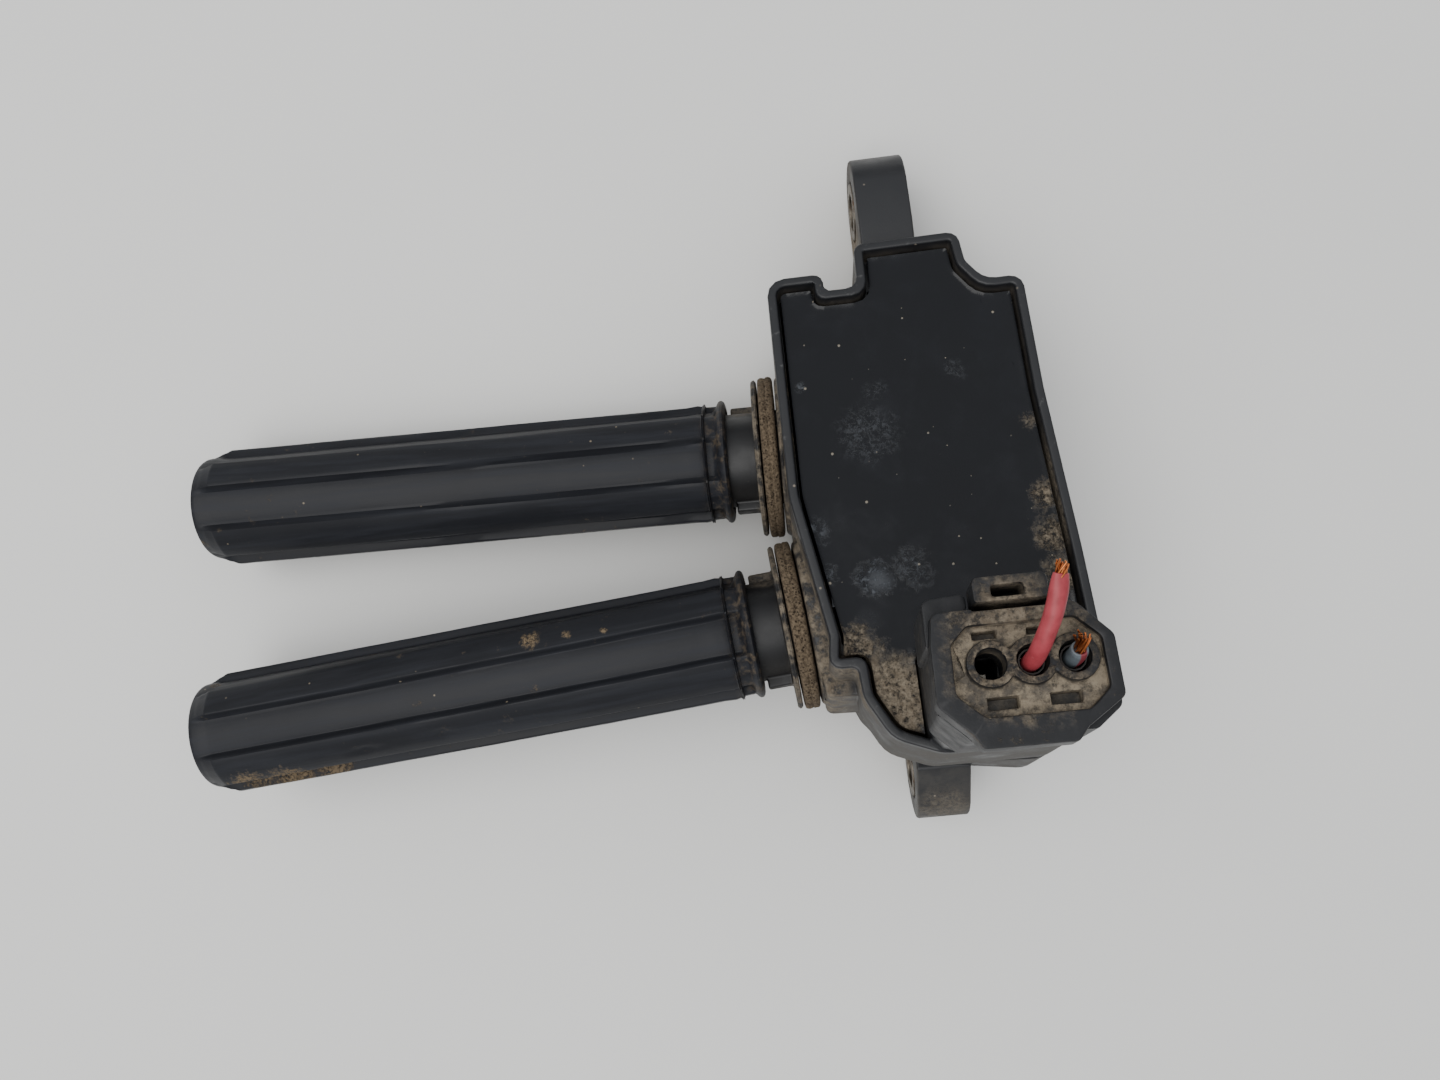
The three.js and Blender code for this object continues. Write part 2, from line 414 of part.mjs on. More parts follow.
// latch lever on the +y side: finger pad with a window, arm and hook
let lever = prism(filleted([[24.4, -25.2, 0.4], [33.8, -25.2, 0.4], [33.8, -21.9, 0.8], [24.4, -21.9, 0.8]], 2), 39.6, PLUG_TOP_H);
lever = cut(lever, prism(roundedRect(26.7, 30.8, -24.6, -23.1, 0.4, 2), 38, 46));
lever = join(lever, box(25.9, 33.1, -23.0, -21.9, 30.0, 40.2), box(26.7, 32.5, -23.3, -21.9, 28.6, 30.6));
piece(plugGroup, 'latch_lever', lever, 0x1d1e21, 0.5, 0);

// ring seal round the plug core, inside the shroud
piece(plugGroup, 'plug_ring_seal', cut(prism(roundedRect(sx0 + 1.6, sx1 - 1.6, sy0 + 1.6, sy1 - 1.6, 1.7), 34.2, 37.0),
  prism(roundedRect(sx0 + 2.1, sx1 - 2.1, sy0 + 2.1, sy1 - 2.1, 1.4), 33, 38)), 0x8c3b2b, 0.7, 0);

// wires: the middle cavity carries a red stub, the +x cavity a short grey one; the -x cavity is empty
class Route extends THREE.CatmullRomCurve3 {}
function wireGeometry(points, r, steps, sides = 10) {
  const section = new THREE.Shape();
  for (let i = 0; i < sides; i++) { const a = 2 * Math.PI * i / sides; (i ? section.lineTo : section.moveTo).call(section, r * Math.cos(a), r * Math.sin(a)); }
  return new THREE.ExtrudeGeometry(section, { steps, bevelEnabled: false, extrudePath: new Route(points.map((p) => new THREE.Vector3(...p)), false, 'centripetal') });
}
const redX = PLUG.x, greyX = PLUG.x + PLUG.pitch;
piece(plugGroup, 'red_wire', wireGeometry([[redX, PLUG.y, 39.6], [redX, PLUG.y, 43], [redX, PLUG.y, 46.0], [redX + 0.5, PLUG.y + 1.0, 48.6], [redX + 1.7, PLUG.y + 3.6, 51.0], [redX + 2.5, PLUG.y + 6.0, 52.4], [redX + 3.0, PLUG.y + 8.2, 53.6]], WIRE_R, 14), 0xb8434e, 0.5, 0);
piece(plugGroup, 'grey_wire', wireGeometry([[greyX, PLUG.y, 39.6], [greyX, PLUG.y, 43], [greyX + 0.1, PLUG.y + 0.1, 45.4], [greyX + 0.1, PLUG.y + 0.4, 47.0]], WIRE_R, 6), 0x7c8691, 0.5, 0);
// bared copper strands at the cut ends
function strands(name, at, toward, r, length) {
  const g = new THREE.Group();
  g.position.set(...at);
  g.quaternion.setFromUnitVectors(new THREE.Vector3(0, 0, 1), new THREE.Vector3(...toward).normalize());
  plugGroup.add(g);
  piece(g, name, turned([[0, 0.3], [r, 0.3], [r * 1.05, length * 0.6], [r * 0.7, length], [0, length]], 10), 0xc77a45, 0.35, 0.9);
}
strands('red_wire_strands', [redX + 3.0, PLUG.y + 8.2, 53.6], [0.5, 2.2, 1.2], 0.75, 1.9);
strands('grey_wire_strands', [greyX + 0.1, PLUG.y + 0.4, 47.0], [0.1, 0.5, 1.0], 0.75, 2.4);
for (const [n, x] of [['red', redX], ['grey', greyX]]) {
  const g = new THREE.Group();
  g.position.set(x, PLUG.y, 0);
  plugGroup.add(g);
  piece(g, `${n}_wire_seal`, turned([[1.45, 40.3], [1.65, 40.3], [1.65, 43.6], [1.45, 43.6], [1.45, 40.3]], 14), 0x2a2422, 0.8, 0);
  piece(g, `${n}_wire_terminal`, cut(box(-1.42, 1.42, -1.5, 1.5, 27.4, 38.7), box(-1.06, 1.06, -0.72, 0.72, 26, 37.4)), 0xb9b4a6, 0.35, 1);
}

// ---------- stand the object on the bench, centred ----------
object.updateMatrixWorld(true);
const extent = new THREE.Box3();
object.traverse((m) => { if (m.isMesh) extent.union(new THREE.Box3().setFromObject(m, true)); });
coil.position.set(-(extent.min.x + extent.max.x) / 2, -(extent.min.y + extent.max.y) / 2, -extent.min.z);
object.updateMatrixWorld(true);

export default object;
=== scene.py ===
import json
import math
import random

import bmesh
import bpy
import numpy as np
from mathutils import Matrix, Vector, noise
from mathutils.bvhtree import BVHTree


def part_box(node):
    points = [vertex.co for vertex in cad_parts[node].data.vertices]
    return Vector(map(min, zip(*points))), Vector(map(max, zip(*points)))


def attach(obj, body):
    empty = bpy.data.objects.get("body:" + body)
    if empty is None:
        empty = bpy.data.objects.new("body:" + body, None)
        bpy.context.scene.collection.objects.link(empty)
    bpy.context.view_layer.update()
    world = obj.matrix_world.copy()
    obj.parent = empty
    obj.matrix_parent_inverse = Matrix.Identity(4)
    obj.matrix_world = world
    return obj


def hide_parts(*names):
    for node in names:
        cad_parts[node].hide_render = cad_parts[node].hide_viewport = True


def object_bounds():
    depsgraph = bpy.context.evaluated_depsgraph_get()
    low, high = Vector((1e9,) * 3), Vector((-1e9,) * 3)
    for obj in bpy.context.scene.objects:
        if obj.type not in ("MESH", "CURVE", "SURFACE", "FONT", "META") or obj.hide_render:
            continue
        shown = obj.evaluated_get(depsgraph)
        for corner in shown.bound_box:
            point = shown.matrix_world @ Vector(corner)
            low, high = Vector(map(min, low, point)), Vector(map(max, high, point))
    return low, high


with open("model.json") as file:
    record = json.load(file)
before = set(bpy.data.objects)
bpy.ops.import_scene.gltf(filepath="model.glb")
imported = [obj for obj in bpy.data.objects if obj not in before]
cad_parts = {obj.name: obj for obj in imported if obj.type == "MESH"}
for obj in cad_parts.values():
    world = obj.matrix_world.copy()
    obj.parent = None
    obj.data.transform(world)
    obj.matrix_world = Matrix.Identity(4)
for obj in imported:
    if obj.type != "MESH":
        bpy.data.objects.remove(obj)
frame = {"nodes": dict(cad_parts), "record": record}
CAD_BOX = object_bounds()
MM = 0.001

# ------------------------------------------------------------------ the coil's own frame, in metres
ORIGIN = Vector((27.329005, -6.978894, 18.779632)) * MM
AX = Vector((0.998027, 0.0, 0.062791))
AY = Vector((0.019487, 0.950624, -0.309732))
AZ = Vector((-0.05969, 0.310345, 0.948748))
TOWERS = {
    1: (Vector((0.030122, 0.007566, 0.014198)), Vector((-0.997598, 0.014932, -0.067648))),
    2: (Vector((0.030929, -0.021238, 0.02367)), Vector((-0.995431, -0.089462, -0.033363))),
}
FLEX_FROM, BOOT_START = 38.0, 8.8
BOOT = {1: dict(end=101.6, lean=0.053, turn=0.0), 2: dict(end=104.4, lean=-0.056, turn=2.0)}
BOOT_R, CORE_R = 10.2, 9.3
PLUG_X, PLUG_Y, PITCH, PLUG_TOP = 30.4, -32.9, 5.1, 45.0
RESIN_H, RIM_H = 18.3, 20.0


def C(x, y, h):
    """A point given in the coil's frame, in millimetres."""
    return ORIGIN + (AX * x + AY * y + AZ * h) * MM


def rgb(r, g, b):
    def lin(v):
        v /= 255.0
        return v / 12.92 if v <= 0.04045 else ((v + 0.055) / 1.055) ** 2.4
    return (lin(r), lin(g), lin(b), 1.0)


# ------------------------------------------------------------------ node helpers
class Mat:
    def __init__(self, name):
        self.m = bpy.data.materials.new(name)
        self.m.use_nodes = True
        self.t = self.m.node_tree
        self.t.nodes.clear()
        self.out = self.new("ShaderNodeOutputMaterial")
        self.p = self.new("ShaderNodeBsdfPrincipled")
        self.t.links.new(self.p.outputs["BSDF"], self.out.inputs["Surface"])
        self.co = self.new("ShaderNodeTexCoord").outputs["Object"]
        self.normal = None

    def new(self, kind, **props):
        n = self.t.nodes.new(kind)
        for k, v in props.items():
            setattr(n, k, v)
        return n

    def put(self, node, socket, value):
        s = node.inputs[socket]
        if isinstance(value, bpy.types.NodeSocket):
            self.t.links.new(value, s)
        else:
            s.default_value = value

    def math(self, op, a, b=0.0, c=0.0, clamp=False):
        n = self.new("ShaderNodeMath", operation=op, use_clamp=clamp)
        self.put(n, 0, a); self.put(n, 1, b)
        if op in ("MULTIPLY_ADD", "COMPARE", "SMOOTH_MIN"):
            self.put(n, 2, c)
        return n.outputs[0]

    def mul(self, *a):
        r = a[0]
        for v in a[1:]:
            r = self.math("MULTIPLY", r, v)
        return r

    def add(self, *a):
        r = a[0]
        for v in a[1:]:
            r = self.math("ADD", r, v)
        return self.math("MULTIPLY", r, 1.0, clamp=True)

    def top(self, *a):
        r = a[0]
        for v in a[1:]:
            r = self.math("MAXIMUM", r, v)
        return r

    def ramp(self, v, lo, hi, out_lo=0.0, out_hi=1.0):
        n = self.new("ShaderNodeMapRange", interpolation_type="SMOOTHSTEP")
        self.put(n, "Value", v)
        self.put(n, "From Min", lo); self.put(n, "From Max", hi)
        self.put(n, "To Min", out_lo); self.put(n, "To Max", out_hi)
        return n.outputs[0]

    def noise(self, size_mm, detail=4.0, rough=0.55, distort=0.0, seed=0.0, at=None):
        n = self.new("ShaderNodeTexNoise", noise_dimensions="4D")
        self.put(n, "Vector", at or self.co)
        self.put(n, "W", seed)
        self.put(n, "Scale", 1.0 / (size_mm * MM))
        self.put(n, "Detail", detail); self.put(n, "Roughness", rough); self.put(n, "Distortion", distort)
        return n.outputs["Fac"]

    def cells(self, size_mm, feature="F1", seed_shift=0.0, at=None):
        n = self.new("ShaderNodeTexVoronoi", feature=feature)
        v = at or self.co
        if seed_shift:
            a = self.new("ShaderNodeVectorMath", operation="ADD")
            self.put(a, 0, v); a.inputs[1].default_value = (seed_shift, seed_shift * 0.7, -seed_shift)
            v = a.outputs[0]
        self.put(n, "Vector", v)
        self.put(n, "Scale", 1.0 / (size_mm * MM))
        return n.outputs["Distance"]

    def along(self, axis, origin=ORIGIN):
        """Millimetres along an axis from an origin."""
        s = self.new("ShaderNodeVectorMath", operation="SUBTRACT")
        self.put(s, 0, self.co); s.inputs[1].default_value = origin
        d = self.new("ShaderNodeVectorMath", operation="DOT_PRODUCT")
        self.put(d, 0, s.outputs[0]); d.inputs[1].default_value = axis
        return self.math("MULTIPLY", d.outputs["Value"], 1000.0)

    def near(self, point, r_in, r_out, wobble=0.0, size=3.0, seed=0.0):
        """1 within r_in millimetres of a point, 0 beyond r_out, with a ragged edge."""
        s = self.new("ShaderNodeVectorMath", operation="DISTANCE")
        self.put(s, 0, self.co); s.inputs[1].default_value = point
        d = self.math("MULTIPLY", s.outputs["Value"], 1000.0)
        if wobble:
            d = self.math("MULTIPLY_ADD", self.math("SUBTRACT", self.noise(size, 5, 0.65, seed=seed), 0.5), wobble * 2, d)
        return self.ramp(d, r_in, r_out, 1.0, 0.0)

    def facing(self, axis, lo, hi):
        """How far the true surface faces an axis."""
        g = self.new("ShaderNodeNewGeometry")
        d = self.new("ShaderNodeVectorMath", operation="DOT_PRODUCT")
        self.put(d, 0, g.outputs["Normal"]); d.inputs[1].default_value = axis
        return self.ramp(d.outputs["Value"], lo, hi)

    def mix(self, f, a, b):
        n = self.new("ShaderNodeMix", data_type="RGBA")
        self.put(n, 0, f)
        for i, v in ((6, a), (7, b)):
            self.put(n, i, v)
        return n.outputs[2]

    def mixf(self, f, a, b):
        n = self.new("ShaderNodeMix", data_type="FLOAT")
        self.put(n, 0, f); self.put(n, 2, a); self.put(n, 3, b)
        return n.outputs[0]

    def bump(self, height, distance_mm, strength=1.0):
        n = self.new("ShaderNodeBump")
        self.put(n, "Height", height)
        n.inputs["Distance"].default_value = distance_mm * MM
        n.inputs["Strength"].default_value = strength
        if self.normal is not None:
            self.put(n, "Normal", self.normal)
        self.normal = n.outputs["Normal"]

    def done(self, color, rough, metallic=0.0, specular=0.5):
        self.put(self.p, "Base Color", color)
        self.put(self.p, "Roughness", rough)
        self.put(self.p, "Metallic", metallic)
        self.p.inputs["Specular IOR Level"].default_value = specular
        if self.normal is not None:
            self.put(self.p, "Normal", self.normal)
        return self.m


def stretched(m, axis, factor):
    """Object coordinates squeezed along an axis, so that a texture runs lengthwise."""
    d = m.new("ShaderNodeVectorMath", operation="DOT_PRODUCT")
    m.put(d, 0, m.co); d.inputs[1].default_value = axis
    s = m.new("ShaderNodeVectorMath", operation="SCALE")
    s.inputs[0].default_value = axis
    m.put(s, "Scale", m.math("MULTIPLY", d.outputs["Value"], -(1.0 - factor)))
    a = m.new("ShaderNodeVectorMath", operation="ADD")
    m.put(a, 0, m.co); m.put(a, 1, s.outputs[0])
    return a.outputs[0]


TAN = rgb(136, 125, 108)
TAN_DARK = rgb(104, 93, 78)


def dust_color(m, seed=0.0):
    c = m.mix(m.ramp(m.noise(1.1, 5, 0.7, seed=seed), 0.35, 0.65), TAN, TAN_DARK)
    return m.mix(m.ramp(m.noise(0.28, 3, 0.6, seed=seed + 1), 0.58, 0.7), c, rgb(62, 56, 50))


# ------------------------------------------------------------------ materials
def case_plastic():
    m = Mat("case_plastic")
    base = m.mix(m.noise(9, 4, 0.6), rgb(24, 25, 28), rgb(34, 35, 38))
    up = m.facing(AZ, 0.35, 0.9)
    h = m.along(AZ)
    x = m.along(AX); y = m.along(AY)
    # grey dust film on the outer walls, cloudy and streaked
    cloud = m.ramp(m.noise(7, 6, 0.6, seed=3), 0.28, 0.66)
    fine = m.ramp(m.noise(0.8, 4, 0.65, seed=4), 0.2, 0.62)
    walls = m.mul(m.math("SUBTRACT", 1.0, up), m.ramp(h, 20.0, 17.0))
    film = m.mul(cloud, m.ramp(fine, 0.0, 1.0, 0.45, 1.0), walls)
    low = m.ramp(y, -20.0, -33.0)
    col = m.mix(m.mul(film, m.mixf(low, 0.62, 0.95)), base, m.mix(low, rgb(96, 88, 78), rgb(80, 77, 72)))
    # brown dirt under the seals and on the flanges that carry them
    z1 = m.along(TOWERS[1][1], TOWERS[1][0]); z2 = m.along(TOWERS[2][1], TOWERS[2][0])
    rim1 = m.mul(m.near(TOWERS[1][0], 16.5, 19.5), m.ramp(z1, 5.2, 4.0), m.ramp(z1, -6, -2))
    rim2 = m.mul(m.near(TOWERS[2][0], 16.5, 19.5), m.ramp(z2, 5.2, 4.0), m.ramp(z2, -6, -2))
    rag = m.ramp(m.noise(0.8, 6, 0.75, seed=5), 0.36, 0.56)
    patch = m.ramp(m.noise(2.2, 6, 0.72, seed=6), 0.40, 0.58)
    inner_disc = m.ramp(m.near(TOWERS[1][0], 9.2, 11.5), 0, 1, 1.0, 0.15)
    inner_disc2 = m.ramp(m.near(TOWERS[2][0], 9.2, 11.5), 0, 1, 1.0, 0.15)
    tan = m.top(
        m.mul(m.near(C(9.5, -29.5, 18.5), 3.0, 7.0, 5, 3, 1.0), m.ramp(h, 19.7, 18.9), rag),
        m.mul(rim1, patch, inner_disc, 0.85), m.mul(rim2, patch, inner_disc2, 0.85),
        m.mul(m.near(C(45.2, -3, 19.5), 4.0, 12.0, 4, 2.5, 4.0), m.ramp(h, 19.95, 19.2), rag, 0.8),
        m.mul(m.near(C(20.0, 52.0, 0.0), 4.0, 15.0, 4, 2.5, 5.0), m.ramp(x, 21.0, 20.2), 0.9),
        m.mul(m.near(C(24.6, -46.0, -20.0), 2.0, 7.0, 3, 2.5, 5.0), rag, 0.35),
    )
    # a dusty line along the upper rib of each neck
    for o, t in TOWERS.values():
        z = m.along(t, o)
        ridge = m.mul(m.near(o + t * 6 * MM + AZ * 2.5 * MM + AY * 8.4 * MM, 3.2, 4.8, 1.2, 1.8, 7.0), m.ramp(z, 3.4, 4.6), m.ramp(m.noise(0.9, 5, 0.7, seed=7), 0.3, 0.55), 0.6)
        tan = m.top(tan, ridge)
    col = m.mix(tan, col, dust_color(m, 2.0))
    # painted shade: the necks are painted near black, except where dust lies
    neck = m.mul(m.top(m.mul(m.near(TOWERS[1][0], 16.0, 16.5), m.ramp(z1, 2.6, 3.2)), m.mul(m.near(TOWERS[2][0], 16.0, 16.5), m.ramp(z2, 2.6, 3.2))), m.math("SUBTRACT", 1.0, tan))
    col = m.mix(m.mul(neck, 0.85), col, rgb(13, 13, 15))
    # pale rub marks along the rim and edges
    rub = m.mul(m.ramp(m.noise(1.6, 5, 0.7, seed=9), 0.58, 0.72), m.ramp(h, 19.3, 20.0), 0.5)
    col = m.mix(rub, col, rgb(96, 96, 96))
    speck = m.mul(m.ramp(m.cells(2.7), 0.10, 0.05), m.ramp(m.noise(5, 2, seed=12), 0.5, 0.56))
    col = m.mix(m.mul(speck, 0.7), col, rgb(140, 130, 116))
    rough = m.mixf(m.top(tan, film), m.ramp(m.noise(4, 4, seed=11), 0.3, 0.7, 0.34, 0.5), 0.85)
    m.bump(m.noise(0.35, 3, 0.6), 0.02)
    m.bump(m.mul(tan, m.noise(0.5, 4, 0.7, seed=5)), 0.25)
    return m.done(col, rough, specular=0.45)


def potting():
    m = Mat("potting")
    base = m.mix(m.noise(14, 3, 0.5), rgb(8, 9, 13), rgb(13, 15, 20))
    h = m.along(AZ)
    # dull, faintly mottled areas
    dull = m.ramp(m.noise(7, 6, 0.62, 0.3, seed=1), 0.45, 0.7)
    col = m.mix(m.mul(dull, 0.5), base, rgb(20, 22, 28))
    # the two scuffed patches, and streaks by the tower-side wall
    crack = m.ramp(m.noise(0.9, 7, 0.8, 0.6, seed=21), 0.46, 0.60)
    blotch = m.top(
        m.mul(m.near(C(14.6, -13.4, RESIN_H), 1.5, 3.6, 1.8, 1.8, 2.0), crack, 0.9),
        m.mul(m.near(C(15.4, -13.8, RESIN_H), 0.5, 2.6, 1.0, 1.8, 2.0), 0.35),
        m.mul(m.near(C(20.6, -12.6, RESIN_H), 0.6, 4.2, 3.0, 1.8, 3.0), crack, 0.34),
        m.mul(m.near(C(16.6, 10.2, RESIN_H), 1.5, 6.5, 3.0, 2.5, 4.0), crack, 0.26),
        m.mul(m.near(C(18.5, 17.5, RESIN_H), 0.2, 2.5, 2.0, 2.5, 5.0), crack, 0.22),
        m.mul(m.near(C(31.5, 19.5, RESIN_H), 0.2, 2.4, 2.0, 2.5, 6.0), crack, 0.28),
        m.mul(m.near(C(6.4, -5.0, RESIN_H), 0.4, 3.0, 2.2, 1.5, 7.0), crack, 0.6),
        m.mul(m.near(C(7.6, -12.0, RESIN_H), 0.2, 2.6, 2.0, 1.5, 7.5), crack, 0.4),
        m.mul(m.near(C(6.9, 19.5, RESIN_H), 0.1, 1.2, 0.8, 1.5, 8.0), crack, 0.6),
    )
    col = m.mix(blotch, col, rgb(96, 100, 106))
    # tan dirt: the hollow at the lower left, and flakes along the right wall
    rag = m.ramp(m.noise(0.75, 7, 0.78, seed=31), 0.40, 0.58)
    tan = m.top(
        m.mul(m.near(C(9.0, -26.2, RESIN_H), 3.4, 7.2, 5.0, 2.2, 11.0), rag),
        m.mul(m.near(C(14.0, -32.0, RESIN_H), 4.5, 8.5, 5.0, 2.5, 12.0), m.ramp(m.noise(0.9, 7, 0.78, seed=32), 0.34, 0.55)),
        m.mul(m.near(C(42.0, -3.0, RESIN_H), 0.6, 3.0, 2.6, 1.2, 13.0), rag),
        m.mul(m.near(C(42.2, -9.5, RESIN_H), 1.0, 3.6, 3.0, 1.4, 14.0), rag),
        m.mul(m.near(C(42.6, -15.5, RESIN_H), 1.2, 4.0, 3.0, 1.8, 15.0), rag, 0.9),
        m.mul(m.near(C(41.8, 9.5, RESIN_H), 0.2, 1.8, 1.8, 0.8, 16.0), rag, 0.5),
    )
    col = m.mix(tan, col, dust_color(m, 4.0))
    # fine pale specks over the whole face
    speck = m.top(
        m.mul(m.ramp(m.cells(2.3), 0.085, 0.05), m.ramp(m.noise(6, 2, seed=12), 0.5, 0.56)),
        m.mul(m.ramp(m.cells(4.7, seed_shift=0.31), 0.06, 0.035), 0.9),
    )
    col = m.mix(m.mul(speck, 0.75), col, rgb(150, 142, 128))
    rough = m.mixf(m.top(tan, blotch), m.mixf(dull, 0.16, 0.30), 0.75)
    m.bump(m.noise(16, 2, 0.4, seed=2), 0.55)
    m.bump(m.top(m.mul(blotch, 0.5), m.mul(tan, m.noise(0.5, 4, 0.7, seed=5)), m.mul(speck, 0.4)), 0.2)
    return m.done(col, rough, specular=0.3)


def boot_rubber(which):
    m = Mat("boot_rubber" if which == 1 else "boot_rubber_2")
    o, t = TOWERS[which]
    long = stretched(m, t, 0.06)
    base = m.mix(m.noise(10, 4, 0.6, seed=which), rgb(24, 25, 29), rgb(34, 35, 39))
    wipe = m.ramp(m.noise(1.6, 4, 0.6, at=long, seed=3 + which), 0.42, 0.68)
    col = m.mix(m.mul(wipe, 0.5), base, rgb(44, 46, 52))
    # dust lies in loose patches, at the collar and in listed spots
    z = m.along(t, o)
    dust = m.mul(m.ramp(m.noise(2.4, 6, 0.72, seed=6 + which), 0.60, 0.74), m.ramp(m.noise(18, 2, seed=5), 0.45, 0.6), 0.55)
    neck = m.mul(m.ramp(z, 14.5, 9.0), m.ramp(m.noise(1.4, 5, 0.7, seed=8), 0.46, 0.68), 0.45)
    spots = []
    for k, (zz, ang, r, f) in enumerate(
        [(44.5, -21, 1.9, 1.0), (38.6, -20, 1.0, 0.9), (32.5, -16, 0.8, 0.9), (73.0, -66, 1.4, 0.9), (78.5, -58, 0.8, 0.7), (101.5, -60, 1.6, 0.8), (96.5, 76, 4.0, 0.95), (90.0, 82, 4.5, 0.9), (83.0, 86, 3.5, 0.8)]
        if which == 2 else
        [(69.5, 14, 0.9, 0.6), (72.0, 12, 0.6, 0.6), (101.0, 62, 1.2, 0.5), (49.0, 20, 0.5, 0.7), (90.5, -30, 0.5, 0.6)]):
        p = boot_point(which, zz, ang, BOOT_R - 0.3)
        spots.append(m.mul(m.near(p, r * 0.5, r, r * 0.9, 0.9, 20.0 + k), m.ramp(m.noise(0.5, 5, 0.75, seed=30 + k), 0.38, 0.55), f))
    tan = m.top(dust, neck, *spots)
    col = m.mix(tan, col, m.mix(m.noise(0.6, 4, 0.7, seed=3), rgb(142, 124, 98), rgb(96, 82, 64)))
    speck = m.mul(m.ramp(m.cells(3.1), 0.075, 0.045), m.ramp(m.noise(9, 2, seed=12), 0.5, 0.58))
    col = m.mix(m.mul(speck, 0.7), col, rgb(138, 126, 108))
    rough = m.mixf(tan, m.mixf(wipe, 0.42, 0.54), 0.88)
    m.bump(m.noise(0.5, 4, 0.6), 0.018)
    m.bump(m.noise(1.2, 3, 0.6, at=long, seed=2), 0.03)
    m.bump(m.mul(tan, m.noise(0.4, 4, 0.7)), 0.18)
    return m.done(col, rough, specular=0.21)


def seal_foam():
    m = Mat("seal_foam")
    pores = m.ramp(m.cells(0.55), 0.14, 0.42)
    grain = m.noise(0.45, 6, 0.78)
    col = m.mix(m.ramp(grain, 0.36, 0.62), rgb(64, 54, 43), rgb(116, 102, 84))
    col = m.mix(m.mul(m.math("SUBTRACT", 1.0, pores), 0.75), col, rgb(38, 31, 25))
    col = m.mix(m.mul(m.ramp(m.noise(3.5, 4, 0.6, seed=2), 0.55, 0.7), 0.6), col, rgb(58, 48, 38))
    m.bump(pores, 0.12)
    m.bump(grain, 0.22)
    return m.done(col, 0.95, specular=0.2)


def plug_plastic():
    m = Mat("plug_plastic")
    h = m.along(AZ)
    x = m.along(AX); y = m.along(AY)
    base = m.mix(m.noise(4, 4, 0.6), rgb(18, 19, 22), rgb(29, 30, 33))
    base = m.mix(m.mul(m.ramp(m.noise(2.6, 5, 0.65, seed=2), 0.46, 0.72), 0.4), base, rgb(48, 48, 50))
    # the recess floor on the cable side is caked with tan dust, kept off the raised cavity collars
    floor_ = m.mul(m.ramp(h, PLUG_TOP - 0.55, PLUG_TOP - 1.0), m.ramp(h, 41.2, 42.4), m.ramp(m.noise(1.3, 6, 0.7, seed=4), 0.25, 0.5), m.ramp(m.noise(3.0, 6, 0.72, seed=21), 0.38, 0.56, 0.3, 1.0), 0.95)
    inside = m.mul(m.ramp(x, 20.2, 20.9), m.ramp(x, 39.6, 38.9), m.ramp(y, -39.8, -39.2), m.ramp(y, -27.4, -28.1))
    upf = m.facing(AZ, 0.3, 0.8)
    rings = []
    for i in (-1, 0, 1):
        rings.append(m.near(C(PLUG_X + i * PITCH, PLUG_Y, PLUG_TOP - 0.5), 2.9, 3.3, 0.5, 1.5, 9.0 + i))
    on_collar = m.top(*rings)
    tan = m.mul(floor_, inside, m.math("SUBTRACT", 1.0, m.mul(on_collar, 0.75)))
    # smudges spilling over the rim of the recess and the latch
    spill = m.mul(upf, m.ramp(h, 44.4, 44.8), m.near(C(PLUG_X - 1.5, PLUG_Y + 1.5, PLUG_TOP), 6.0, 10.5, 5.0, 2.6, 8.0), m.ramp(m.noise(1.5, 7, 0.75, seed=14), 0.40, 0.58), 0.85)
    edge = m.mul(upf, m.ramp(h, 44.4, 44.8), m.ramp(m.noise(2.3, 7, 0.75, seed=15), 0.58, 0.70), 0.45)
    latch = m.mul(m.near(C(29.0, -26.3, PLUG_TOP - 1.0), 2.6, 5.0, 2.0, 1.5, 18.0), m.ramp(m.noise(1.1, 6, 0.75, seed=17), 0.36, 0.54), 0.85)
    body = m.mul(m.math("SUBTRACT", 1.0, upf), m.ramp(m.noise(2.4, 6, 0.7, seed=16), 0.52, 0.72), 0.3)
    tan = m.top(tan, spill, edge, latch, body)
    col = m.mix(tan, base, m.mix(m.mul(floor_, inside, 0.5), dust_color(m, 6.0), rgb(158, 146, 126)))
    speck = m.mul(m.ramp(m.cells(1.9), 0.09, 0.05), m.ramp(m.noise(4, 2, seed=12), 0.5, 0.56))
    col = m.mix(m.mul(speck, 0.7), col, rgb(140, 126, 104))
    rough = m.mixf(tan, m.ramp(m.noise(3, 4, seed=11), 0.3, 0.7, 0.42, 0.58), 0.9)
    m.bump(m.noise(0.3, 3, 0.6), 0.02)
    m.bump(m.mul(tan, m.noise(0.45, 5, 0.75, seed=5)), 0.3)
    return m.done(col, rough, specular=0.34)


def insulation(name, col_a, col_b, stripe=None, at=None):
    m = Mat(name)
    col = m.mix(m.ramp(m.noise(1.6, 4, 0.6), 0.35, 0.7), col_a, col_b)
    if stripe:
        s = m.mul(m.ramp(m.along(AX, at), -0.1, 0.15), m.ramp(m.along(AX, at), 0.95, 0.7))
        col = m.mix(s, col, stripe)
    grime = m.ramp(m.noise(0.9, 6, 0.75, seed=4), 0.55, 0.72)
    col = m.mix(m.mul(grime, 0.45), col, rgb(96, 52, 46) if name.startswith("red") else rgb(70, 66, 60))
    scuff = m.ramp(m.noise(0.5, 6, 0.7, 0.4, seed=9), 0.62, 0.74)
    col = m.mix(m.mul(scuff, 0.35), col, rgb(214, 150, 150) if name.startswith("red") else rgb(170, 176, 180))
    m.bump(m.noise(0.5, 4, 0.6), 0.03)
    return m.done(col, 0.48, specular=0.45)


